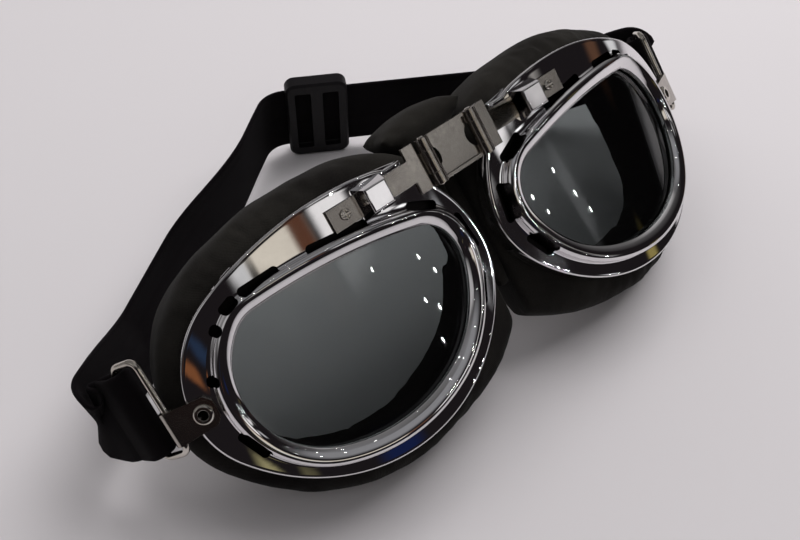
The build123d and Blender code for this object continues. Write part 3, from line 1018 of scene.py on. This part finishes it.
        # The cut passes the cutters' finishes on: chrome in the arm's slot, painted shade on the walls of the
        # vents and the eyelet's hole.
        bake(
            cut, "BOOLEAN", object=tools, operation="DIFFERENCE", solver="EXACT", use_self=True,
            material_mode="TRANSFER",
        )
        reshade(cut, whole, 38)
        bpy.data.objects.remove(tools)
        bpy.data.objects.remove(whole)
        cut.name = cut.data.name = "left_eye_frame"
        return cut

    def build_lens(self) -> bpy.types.Object:
        """Model the curved lens with its ground edge.

        Returns:
            The lens for the side at +X.
        """
        ways = OPENING.directions(160)
        rows = []
        middle = np.mean([OPENING.at(a) for a in ways], axis=0)

        def row(share: float, grow: float, depth: float) -> Row:
            """One row of the lens, drawn in towards its middle."""
            return [self.shell.skin(*(middle + (OPENING.at(a, grow) - middle) * share), depth) for a in ways]

        for share in np.linspace(0.02, 0.98, 22):
            rows.append(row(float(share), self.lens_margin, self.lens_front))
        rows.append(row(1, self.lens_margin - 0.2, self.lens_front))
        rows.append(row(1, self.lens_margin, self.lens_front - 0.2))
        rows.append(row(1, self.lens_margin, self.lens_back + 0.2))
        rows.append(row(1, self.lens_margin - 0.2, self.lens_back))
        for share in np.linspace(0.98, 0.02, 22):
            rows.append(row(float(share), self.lens_margin, self.lens_back))
        lens = loft("left_smoke_lens", rows, caps=True)
        smooth_by_angle(lens, 40)
        return lens

    def build(self) -> None:
        """Build and dress both eye frames."""
        frame = self.build_frame()
        lens = LENS.dress(self.build_lens())
        for side in Side:
            pair = ((frame, "eye_frame", "frame"), (lens, "smoke_lens", "lens"))
            for piece, word, node in pair:
                if side is Side.RIGHT:
                    piece = mirrored(piece, f"right_{word}")
                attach(piece, f"{side.word}_eye")
                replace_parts(piece, f"{side.word}_{node}")
                told(piece)
            RUBBER.dress(self.nodes[f"{side.word}_lens_seal"])
            RIM.dress(self.nodes[f"{side.word}_lens_retainer"])


@dataclass
class Hardware:
    """The small metal pieces: bridge, arms, guides, screws, brackets, eyelets and wire rings."""

    nodes: dict[str, bpy.types.Object]
    shell: Shell = field(default_factory=Shell)
    wire: float = 0.9
    ring_half: float = 12.8
    ring_reach: float = 8.0
    ring_corner: float = 2.2
    ring_slid_up: float = 6.0
    ring_swing: float = 32.0
    bracket_outer: float = 8.0
    plate_top: float = 0.95
    roll_radius: float = 1.8

    def ring_frame(self) -> Matrix:
        """The wire ring's own frame: x towards the strap, y up, z to the front.

        Returns:
            The matrix, at the middle of the near bar.
        """
        shell = self.shell
        bracket = shell.tangent(*EYELET)
        near = bracket @ (Vector((self.bracket_outer, 0, self.plate_top - self.roll_radius)) * MM)
        near += shell.lie.up * self.ring_slid_up * MM
        angle = shell.wrap + math.degrees(math.asin(EYELET[0] / shell.radius)) + self.ring_swing
        out, front = shell.turned(angle)
        return Matrix.Translation(near) @ Matrix((out, shell.lie.up, front)).transposed().to_4x4()

    def build_ring(self) -> bpy.types.Object:
        """Model the wire ring as one bent wire.

        Returns:
            The ring for the side at +X.
        """
        frame = self.ring_frame()
        straight, reach, corner = self.ring_half - self.ring_corner, self.ring_reach, self.ring_corner
        path: list[tuple[float, float]] = []
        for share in np.linspace(-1, 1, 13):
            path.append((0, straight * float(share)))
        for centre, first in (((corner, straight), 180), ((reach - corner, straight), 90),
                              ((reach - corner, -straight), 0), ((corner, -straight), 270)):
            for step in range(9):
                turn = math.radians(first - 90 * step / 8)
                path.append((centre[0] + corner * math.cos(turn), centre[1] + corner * math.sin(turn)))
        kept = [p for i, p in enumerate(path) if math.dist(p, path[i - 1]) > 0.01]
        rows = []
        for index, point in enumerate(kept):
            before, after = Vector(kept[index - 1]), Vector(kept[(index + 1) % len(kept)])
            way = (after - before).normalized()
            aside = Vector((way.y, -way.x))
            rows.append([frame @ (Vector((point[0] + aside.x * self.wire * math.cos(t),
                                          point[1] + aside.y * self.wire * math.cos(t),
                                          self.wire * math.sin(t))) * MM)
                         for t in np.linspace(0, 2 * math.pi, 16, endpoint=False)])
        ring = loft("left_ring", rows, ring=True)
        smooth_by_angle(ring, 60)
        return ring

    def build(self) -> None:
        """Build and dress the metal pieces of both sides."""
        plan = (
            ("arm", "tongue_arm", 0.14, NICKEL, "{}_bridge_arm"),
            ("stop_screw", "slotted_screw", 0.08, STEEL, "{}_bridge_arm"),
            ("hinge_pin", "pin", 0.1, STEEL, "bridge"),
            ("guide_block", "guide", 0.3, CHROME, "{}_eye"),
            ("strap_bracket", "bracket", 0.12, NICKEL, "{}_eye"),
            ("eyelet", "rivet_eyelet", 0.1, STEEL, "{}_eye"),
        )
        for node, word, width, finish, body in plan:
            for side in Side:
                name = f"{side.word}_{node}"
                piece = finish.dress(refined(self.nodes[name], f"{side.word}_{word}", width))
                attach(piece, body.format(side.word))
                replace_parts(piece, name)
                told(piece)
        link = NICKEL.dress(refined(self.nodes["bridge_link"], "hinge_link", 0.16))
        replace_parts(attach(link, "bridge"), "bridge_link")
        ring = STEEL.dress(self.build_ring())
        for side in Side:
            piece = ring if side is Side.LEFT else mirrored(ring, "right_ring")
            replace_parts(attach(piece, f"{side.word}_ring"), f"{side.word}_wire_ring")
            told(piece)


@dataclass
class Cushions:
    """The padded rings behind the frames and the pad over the nose."""

    nodes: dict[str, bpy.types.Object]
    lie: Lie = field(default_factory=Lie)
    voxel: float = 1.7
    pressure: float = 4.5
    cap: float = 2.4
    tight_within: float = 12.0
    free_beyond: float = 30.0
    shrink: float = 0.5
    lump: float = 0.6
    lumps_per_metre: float = 60.0
    middle_lump: float = 0.2
    nose_lump: float = 0.6
    eyes: str = "eye_pad"
    puckers: int = 46
    pucker: float = 0.32
    pucker_from: float = 3.0
    pucker_reach: float = 9.0
    pucker_drift: float = 5.0
    shell: Shell = field(default_factory=Shell)

    def padded(self, node: str, name: str, seed: float) -> bpy.types.Object:
        """Make a stuffed copy of a soft CAD solid by cloth simulation.

        Args:
            node: The CAD node that it starts from.
            name: The new piece's name.
            seed: Where the fabric's unevenness is read.

        Returns:
            The padded piece.
        """
        obj = merged_copy(self.nodes[node], name)
        bake(obj, "REMESH", mode="VOXEL", voxel_size=self.voxel * MM)
        start = [v.co - v.normal * self.shrink * MM for v in obj.data.vertices]
        for vertex, place in zip(obj.data.vertices, start):
            vertex.co = place
        self.inflate(obj)
        self.settle(obj, seed)
        bake(obj, "SUBSURF", levels=1, render_levels=1)
        for face in obj.data.polygons:
            face.use_smooth = True
        return obj

    def room(self, x: float) -> float:
        """How freely an eye pad swells at x metres, 0 to 1: not where the two meet in a fold."""
        share = (abs(x) / MM - self.tight_within) / (self.free_beyond - self.tight_within)
        return min(1.0, max(0.0, share))

    def inflate(self, obj: bpy.types.Object) -> None:
        """Blow a piece up as cloth, ten times its size for a steady simulation.

        Args:
            obj: The piece.
        """
        scale, frames = 10.0, 20
        obj.data.transform(Matrix.Scale(scale, 4))
        before = [v.co.copy() for v in obj.data.vertices]
        only(obj)
        cloth = obj.modifiers.new("Cloth", "CLOTH")
        settings = {
            "quality": 6, "mass": 0.25, "tension_stiffness": 8, "compression_stiffness": 8,
            "shear_stiffness": 4, "bending_stiffness": 0.3, "use_pressure": True,
            "uniform_pressure_force": self.pressure,
        }
        for key, value in settings.items():
            setattr(cloth.settings, key, value)
        cloth.settings.effector_weights.gravity = 0
        cloth.point_cache.frame_start, cloth.point_cache.frame_end = 1, frames
        scene = bpy.context.scene
        for frame in range(1, frames + 1):
            scene.frame_set(frame)
        shaped = obj.evaluated_get(bpy.context.evaluated_depsgraph_get())
        after = [v.co.copy() for v in shaped.data.vertices]
        obj.modifiers.remove(cloth)
        scene.frame_set(1)
        for vertex, old, new in zip(obj.data.vertices, before, after):
            move = new - old
            share = self.room(old.x / scale) if self.eyes in obj.name else 1.0
            limit = (self.shrink + (self.cap - self.shrink) * share) * MM * scale
            if move.length > limit:
                move *= limit / move.length
            vertex.co = old + move
        obj.data.transform(Matrix.Scale(1 / scale, 4))

    def settle(self, obj: bpy.types.Object, seed: float) -> None:
        """Pucker the fabric a little and keep it off the table.

        Args:
            obj: The piece.
            seed: Where the unevenness is read.
        """
        side = Vector((1 if obj.name.startswith("left") else -1, 1, 1))
        out, front = self.shell.turned(self.shell.wrap)
        centre = self.shell.flat(0, 0, 0)
        for vertex in obj.data.vertices:
            place = vertex.co * self.lumps_per_metre + Vector((seed, 0, 0))
            lump = noise.fractal(place, 1.0, 2.0, 2) * self.lump
            if self.eyes in obj.name:
                away = vertex.co * side - centre
                turn = math.atan2(away.dot(self.lie.up), away.dot(out))
                behind = min(1.0, max(0.0, 1 + (away.dot(front) / MM + self.pucker_from) / self.pucker_reach))
                wave = math.sin(turn * self.puckers + self.pucker_drift * noise.noise(place * 0.7))
                lump += wave * behind * self.pucker * (0.6 + 0.8 * abs(noise.noise(place * 0.4)))
                lump *= self.middle_lump + (1 - self.middle_lump) * self.room(vertex.co.x)
            else:
                lump *= self.nose_lump
            vertex.co = vertex.co + vertex.normal * lump * MM
            vertex.co.z = max(vertex.co.z, 0.0)

    def build(self) -> None:
        """Build and dress both eye cushions and the nose pad."""
        plan = (
            ("left_cushion", "left_eye_pad", 3.1, "left_eye", 0.75),
            ("right_cushion", "right_eye_pad", 9.7, "right_eye", 0.75),
            ("nose_cushion", "nose_pad", 17.3, "bridge", 0.6),
        )
        for node, name, seed, body, fill in plan:
            pad = CUSHION.dress(self.padded(node, name, seed))
            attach(pad, body)
            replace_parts(pad, node)
            told(pad)


@dataclass
class Strap:
    """The webbing strap, its sewn loops and its slider."""

    nodes: dict[str, bpy.types.Object]
    hardware: Hardware
    lie: Lie = field(default_factory=Lie)
    width: float = 23.0
    thickness: float = 1.6
    lap: float = 6.0
    gap: float = 0.3
    fold_reach: float = 20.0
    fold_radius: float = 4.0
    fold_height: float = 25.0
    fold_way: tuple[float, float, float] = (0.12, 0.27, 0.96)
    apex: float = 98.0
    apex_radius: float = 9.0
    settle: float = 45.0
    upright_share: float = 0.3
    slider_height: float = 30.0
    loop_room: float = 1.2
    bend_from: float = 60.0
    lean_out: float = 20.0
    lean_rise: float = 0.3
    lean_from: float = 0.1
    lean_fade: float = 0.4

    def route(self, side: Side) -> list[tuple[Vector, Vector]]:
        """Middles of one half of the band and its upright way, from the loop to the back, in millimetres.

        Args:
            side: The half.

        Returns:
            Places and unit directions.
        """
        frame = self.hardware.ring_frame()
        ring_out = frame.col[0].to_3d()
        up = self.lie.up
        start = frame.translation / MM + ring_out * (self.hardware.ring_reach + self.lap + self.gap)
        flat_length = ring_out.to_2d().length
        first = math.atan2(ring_out.y, ring_out.x)
        run = (self.fold_reach - self.hardware.ring_reach - self.lap) * flat_length

        def heading(angle: float) -> Vector:
            """A way along, seen from above."""
            return Vector((math.cos(angle), math.sin(angle), 0))

        def aside(angle: float) -> Vector:
            """The way to the right of a heading."""
            return Vector((math.sin(angle), -math.cos(angle), 0))

        flat_start = Vector((start.x, start.y, 0))
        fold = flat_start + heading(first) * run - aside(first) * self.fold_radius
        apex = Vector((0, self.lie.face_back + self.apex - self.apex_radius, 0))
        between = apex - fold
        slant = math.asin((self.fold_radius - self.apex_radius) / between.length)
        turn = math.atan2(between.y, between.x) + slant
        straight = between.dot(heading(turn))
        fold_length = (turn - first) * self.fold_radius
        apex_length = (math.pi - turn) * self.apex_radius
        fall = ring_out.z / flat_length
        mirror = side.value

        def ease(share: float) -> float:
            """A share with a soft start and end."""
            share = max(0.0, min(1.0, share))
            return share * share * (3 - 2 * share)

        def at(along: float) -> tuple[Vector, Vector]:
            """The band's middle and upright at a length along it."""
            after = along - run - fold_length - straight
            if along <= run:
                place = flat_start + heading(first) * along
            elif along <= run + fold_length:
                place = fold + aside(first + (along - run) / self.fold_radius) * self.fold_radius
            elif after <= 0:
                place = apex + aside(turn) * self.apex_radius + heading(turn) * after
            else:
                place = apex + aside(turn + after / self.apex_radius) * self.apex_radius
            middle = run + fold_length / 2
            settled = ease((apex_length - after) / self.settle) if side is Side.RIGHT else 0.0
            back = self.slider_height / 2 * (1 - settled) + self.width / 2 * settled
            to_fold = ease((along - run / 2) / (middle - run / 2))
            to_back = ease((along - middle) / (self.upright_share * straight))
            height = (start.z + fall * along) * (1 - to_fold) + self.fold_height * to_fold
            height = height * (1 - to_back) + back * to_back
            upright = up * (1 - to_fold) + Vector(self.fold_way) * to_fold
            lean = 0.0
            if side is Side.RIGHT:
                fading = ease((-after / straight - self.lean_from) / self.lean_fade)
                lean = ease((along - middle) / (self.lean_rise * straight)) * fading
            lean = math.radians(self.lean_out) * lean
            aslant = Vector((0, 0, 1)) * math.cos(lean) + aside(turn) * math.sin(lean)
            place = place + aside(turn) * math.sin(lean) * self.width / 2
            height += math.sin(lean) * self.thickness * 0.3 - (1 - math.cos(lean)) * self.width / 2
            upright = upright * (1 - to_back) + aslant * to_back
            turned = Vector((upright.x * mirror, upright.y, upright.z))
            return Vector((place.x * mirror, place.y, height)), turned

        stations = [run * s / 4 for s in range(4)]
        stations += [run + fold_length * s / 14 for s in range(14)]
        stations += [run + fold_length + straight * s / 60 for s in range(60)]
        stations += [run + fold_length + straight + apex_length * s / 8 for s in range(9)]
        return [at(s) for s in stations]

    def section(self, count: int = 14) -> list[tuple[float, float]]:
        """The webbing's section with rounded selvedges.

        Args:
            count: Places along each face.

        Returns:
            Places along the width and the thickness.
        """
        half, thick = self.width / 2, self.thickness / 2
        flat = self.width - 2 * thick
        face = [(-half + thick + flat * s / (count - 1), thick * 0.86) for s in range(count)]
        edge = [(half - thick * 0.35, thick * 0.7), (half, thick * 0.3), (half, -thick * 0.3),
                (half - thick * 0.35, -thick * 0.7)]
        ring = face + edge
        return ring + [(-x, -y) for x, y in ring]

    def build_band(self, side: Side, route: list[tuple[Vector, Vector]]) -> bpy.types.Object:
        """Model one half of the band along its route, with a UV map in metres for the weave.

        Args:
            side: The half.
            route: Its middles and uprights.

        Returns:
            The half band.
        """
        section = self.section()
        rows: list[Row] = []
        for index, (place, upright) in enumerate(route):
            before = route[max(0, index - 1)][0]
            after = route[min(len(route) - 1, index + 1)][0]
            way = (after - before).normalized()
            tall = (upright - way * upright.dot(way)).normalized()
            out = tall.cross(way)
            rows.append([(place + tall * u + out * v) * MM for u, v in section])
        band = loft(f"{side.word}_strap_band", rows, caps=True)
        self.unwrap(band, route)
        smooth_by_angle(band, 60)
        return band

    def unwrap(self, band: bpy.types.Object, route: list[tuple[Vector, Vector]]) -> None:
        """Lay the band's UV map out in metres: across the width and along the length.

        Args:
            band: The band.
            route: Its middles and uprights.
        """
        lengths = [0.0]
        for (a, _), (b, _) in zip(route, route[1:]):
            lengths.append(lengths[-1] + (b - a).length)
        layer = band.data.uv_layers.new(name="weave")
        places = np.array([p for p, _ in route])
        for loop in band.data.loops:
            co = np.array(band.data.vertices[loop.vertex_index].co) / MM
            index = int(np.argmin(((places - co) ** 2).sum(1)))
            upright = route[index][1].normalized()
            across = float((Vector(co) - route[index][0]).dot(upright))
            layer.data[loop.index].uv = (across * MM, lengths[index] * MM)

    def build_loop(self) -> bpy.types.Object:
        """Model the sewn loop round the far bar of the wire ring.

        Returns:
            The loop for the side at +X.
        """
        frame = self.hardware.ring_frame()
        bore = self.hardware.wire + self.loop_room
        outer = bore + self.thickness
        middle = (bore + outer) / 2
        far = self.hardware.ring_reach
        path: list[tuple[float, float]] = []
        lean = math.asin((middle - self.thickness / 2) / self.lap)
        steps = 20
        for step in range(steps + 1):
            turn = math.pi / 2 - lean + (math.pi + 2 * lean) * step / steps
            path.append((far + middle * math.cos(turn), middle * math.sin(turn)))
        start = (far + self.lap, self.thickness / 2)
        end = (far + self.lap, -self.thickness / 2)
        path = [start] + [self.between(start, path[0], s) for s in (0.33, 0.66)] + path
        path += [self.between(path[-1], end, s) for s in (0.33, 0.66)] + [end]
        rows = []
        for index, point in enumerate(path):
            before, after = path[max(0, index - 1)], path[min(len(path) - 1, index + 1)]
            way = Vector((after[0] - before[0], after[1] - before[1])).normalized()
            out = Vector((-way.y, way.x))
            rows.append([frame @ (Vector((point[0] + out.x * v, u, point[1] + out.y * v)) * MM)
                         for u, v in self.section(8)])
        loop = loft("left_sewn_loop", rows, caps=True)
        layer = loop.data.uv_layers.new(name="weave")
        inverse = frame.inverted()
        for corner in loop.data.loops:
            local = inverse @ loop.data.vertices[corner.vertex_index].co
            layer.data[corner.index].uv = (local.y, local.x + abs(local.z))
        smooth_by_angle(loop, 60)
        return loop

    @staticmethod
    def between(a: tuple[float, float], b: tuple[float, float], share: float) -> tuple[float, float]:
        """The point at a share of the way from one to another."""
        return a[0] + (b[0] - a[0]) * share, a[1] + (b[1] - a[1]) * share

    def build(self) -> None:
        """Build and dress the strap, its loops and its slider."""
        for side in Side:
            route = self.route(side)
            band = STRAP.dress(self.build_band(side, route))
            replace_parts(band, "strap")
            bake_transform(band)
            told(band)
        loop = STRAP.dress(self.build_loop())
        for side in Side:
            piece = loop if side is Side.LEFT else mirrored(loop, "right_sewn_loop")
            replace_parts(piece, f"{side.word}_strap_loop")
            frame, mirror = self.hardware.ring_frame(), Matrix.Scale(side.value, 4, (1, 0, 0))
            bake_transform(piece)
            told(piece)
        slider = PLASTIC.dress(refined(self.nodes["strap_slider"], "band_slider", 0.25))
        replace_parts(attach(slider, "slider"), "strap_slider")
        told(slider)


@dataclass(frozen=True)
class Patch:
    """One soft-edged patch of the room, as the chrome reflects it."""

    azimuth: float
    elevation: float
    wide: float
    high: float
    colour: tuple[float, float, float]
    soft: float = 0.5


def patch_group() -> bpy.types.NodeTree:
    """A soft-edged mask round one direction of the room.

    Returns:
        The group.
    """
    sizes = {"Azimuth": 0.0, "Elevation": 0.0, "Wide": 10.0, "High": 10.0, "Soft": 0.5}
    build, given, wanted = new_group("room_patch", sizes, ("Mask",))
    x, y, z = build.axes(given["Vector"])
    degrees = 180 / math.pi
    back = build.maths("MULTIPLY", y, -1.0)
    turn = build.maths("MULTIPLY", build.maths("ARCTAN2", x, back), degrees)
    rise = build.maths("MULTIPLY", build.maths("ARCSINE", z), degrees)
    inner = build.maths("SUBTRACT", 1.0, given["Soft"])
    masks = []
    for value, centre, size in ((turn, "Azimuth", "Wide"), (rise, "Elevation", "High")):
        away = build.maths("ABSOLUTE", build.maths("SUBTRACT", value, given[centre]))
        share = build.maths("DIVIDE", away, given[size])
        masks.append(build.ranged(share, 1, 0, inner, 1, "SMOOTHSTEP"))
    build.give(wanted["Mask"], build.maths("MULTIPLY", *masks))
    return build.tree


@dataclass
class Studio:
    """The table, the lamps, the surroundings and the camera."""

    lie: Lie = field(default_factory=Lie)
    dark: tuple[float, float, float] = (0.012, 0.010, 0.011)
    dim: tuple[float, float, float] = (0.20, 0.195, 0.195)
    focal: float = 45.0
    right: tuple[float, float, float] = (0.743, -0.670, 0.011)
    forward: tuple[float, float, float] = (0.430, 0.465, -0.774)
    camera_place: tuple[float, float, float] = (-135.1, -111.1, 194.5)
    soft_lamps: tuple[tuple[str, tuple[float, ...], float, float, tuple[float, ...]], ...] = (
        ("key_soft", (0.6, 0.1, 0.8), 0.8, 8.4, (1.0, 0.985, 0.985)),
        ("back_soft", (-0.1, 0.95, 1.0), 1.2, 6.6, (1.0, 0.98, 0.985)),
        ("front_soft", (-0.5, -0.7, 1.1), 1.0, 1.6, (1.0, 0.985, 0.985)),
    )
    point_size: float = 0.1
    spot_size: float = 0.016
    spot_power: float = 0.12
    spot_distance: float = 3.0
    spot_lift: float = 0.04
    patches: tuple[Patch, ...] = (
        Patch(0, 78, 190, 28, (0.26, 0.26, 0.27), 0.7),
        Patch(-95, 38, 30, 18, (0.45, 0.44, 0.44), 0.6),
        Patch(125, 38, 22, 20, (0.45, 0.44, 0.44), 0.6),
        Patch(-9, 39, 17, 6, (0.72, 0.66, 0.56), 0.5),
        Patch(-20, 35, 5, 3, (0.62, 0.62, 0.62), 0.8),
        Patch(-16, 33, 2, 5, (0.05, 0.045, 0.04), 0.8),
        Patch(3, 38, 4.5, 8, (0.11, 0.045, 0.025), 0.6),
        Patch(15, 37, 8, 6, (0.95, 0.93, 0.92), 0.4),
        Patch(31, 33, 4.5, 3.5, (0.95, 0.93, 0.93), 0.5),
        Patch(34, 42, 8, 4, (0.45, 0.44, 0.46), 0.6),
        Patch(45, 28, 3, 3, (0.60, 0.58, 0.58), 0.7),
        Patch(-39, 25.5, 2.5, 1.6, (0.02, 0.035, 0.07), 0.8),
        Patch(-43, 22.8, 2.2, 1.2, (0.20, 0.075, 0.03), 0.7),
        Patch(-35, 18.5, 4, 1.0, (0.30, 0.27, 0.14), 0.8),
        Patch(-27, 20, 3, 1.5, (0.10, 0.09, 0.05), 0.8),
        Patch(-2, 23, 9, 2.5, (0.008, 0.014, 0.055), 0.7),
        Patch(43, 21, 3, 4, (0.70, 0.70, 0.72), 0.7),
        Patch(38, 32, 3.5, 3, (1.4, 1.4, 1.4), 0.8),
        Patch(52, 27, 3, 5, (0.40, 0.38, 0.36), 0.8),
        Patch(54, 8, 3, 2, (0.30, 0.24, 0.08), 0.7),
        Patch(73, 8, 5, 3, (0.10, 0.05, 0.03), 0.8),
        Patch(80, 2, 3, 4, (0.70, 0.70, 0.70), 0.6),
    )
    spots: tuple[tuple[float, float], ...] = (
        (15.9, 31.6), (30.5, 27.1), (32.6, 25.0), (25.2, 26.1), (27.6, 24.5), (23.2, 23.9),
        (41.0, 23.7), (43.2, 20.5), (44.6, 18.2),
    )
    ceiling_rows: tuple[tuple[float, int, float], ...] = ((54, 9, 8.0), (66, 7, 20.0), (78, 4, 40.0))

    def build_camera(self) -> None:
        """Set the camera where the photograph was taken from."""
        data = bpy.data.cameras.new("photo_camera")
        data.lens, data.sensor_width, data.sensor_fit = self.focal, 36.0, "HORIZONTAL"
        data.clip_start, data.clip_end = 0.01, 20
        camera = bpy.data.objects.new("photo_camera", data)
        bpy.context.scene.collection.objects.link(camera)
        right = Vector(self.right).normalized()
        forward = Vector(self.forward)
        forward = (forward - right * forward.dot(right)).normalized()
        up = right.cross(forward)
        turn = Matrix((right, up, -forward)).transposed().to_4x4()
        origin = Vector((0, self.lie.face_back, self.lie.face_height))
        place = (origin + Vector(self.camera_place)) * MM
        camera.matrix_world = Matrix.Translation(place) @ turn
        bpy.context.scene.camera = camera

    def build_table(self) -> None:
        """Lay the table top under the goggles."""
        bpy.ops.object.select_all(action="DESELECT")
        bpy.ops.mesh.primitive_plane_add(size=6)
        table = bpy.context.active_object
        table.name = "table_top"
        Table().dress(table)

    def lamp(self, name: str, place: tuple[float, float, float], size: float, power: float,
             colour: tuple[float, float, float] = (1, 1, 1)) -> None:
        """Hang one soft lamp that looks at the goggles.

        Args:
            name: The lamp's name.
            place: Where it hangs, in metres.
            size: How wide it is.
            power: Its power in watts.
            colour: Its colour.
        """
        data = bpy.data.lights.new(name, "AREA")
        data.energy, data.size, data.color = power, size, colour
        lamp = bpy.data.objects.new(name, data)
        bpy.context.scene.collection.objects.link(lamp)
        lamp.location = place
        lamp.rotation_euler = (Vector((0, 0, 0.03)) - Vector(place)).to_track_quat("-Z", "Y").to_euler()
        lamp.visible_glossy = size < self.point_size

    def build_spots(self) -> None:
        """Hang the small bright ceiling lamps whose points of light show on the lenses and the chrome."""
        ways = list(self.spots)
        for elevation, count, first in self.ceiling_rows:
            ways += [((first + 360 * i / count) % 360, elevation) for i in range(count)]
        for number, (azimuth, elevation) in enumerate(ways, 1):
            a, e, far = math.radians(azimuth), math.radians(elevation), self.spot_distance
            place = (math.sin(a) * math.cos(e) * far, -math.cos(a) * math.cos(e) * far,
                     math.sin(e) * far + self.spot_lift)
            self.lamp(f"spot_{number}", place, self.spot_size, self.spot_power)

    def build_world(self) -> None:
        """Make the room: dark towards the wearer's view, with the patches that the chrome shows."""
        world = bpy.data.worlds.new("room")
        bpy.context.scene.world = world
        world.use_nodes = True
        build = Nodes(world.node_tree)
        way = build.add("ShaderNodeTexCoord").outputs["Generated"]
        behind = build.ranged(build.axes(way)[1], 0, 1, -0.2, 0.6)
        colour = build.mixed(behind, self.dark, self.dim)
        for patch in self.patches:
            mask = build.group(
                "room_patch", patch_group, Vector=way, Azimuth=patch.azimuth, Elevation=patch.elevation,
                Wide=patch.wide, High=patch.high, Soft=patch.soft,
            )
            colour = build.mixed(mask.outputs["Mask"], colour, patch.colour)
        build.give(world.node_tree.nodes["Background"].inputs["Color"], colour)

    def build(self) -> None:
        """Build the whole studio."""
        self.build_camera()
        self.build_table()
        self.build_world()
        self.build_spots()
        for name, place, size, power, colour in self.soft_lamps:
            self.lamp(name, place, size, power, colour)
        bpy.context.scene.view_settings.view_transform = "Standard"


def main() -> None:
    """Load the frame, build every sub-assembly in order and dress it."""
    logging.basicConfig(level=logging.INFO, format="%(message)s")
    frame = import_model()
    nodes = frame["nodes"]
    Studio().build()
    hardware = Hardware(nodes)
    EyeFrame(nodes).build()
    hardware.build()
    Cushions(nodes).build()
    Strap(nodes, hardware).build()
    bpy.context.view_layer.update()


if __name__ == "__main__":
    main()
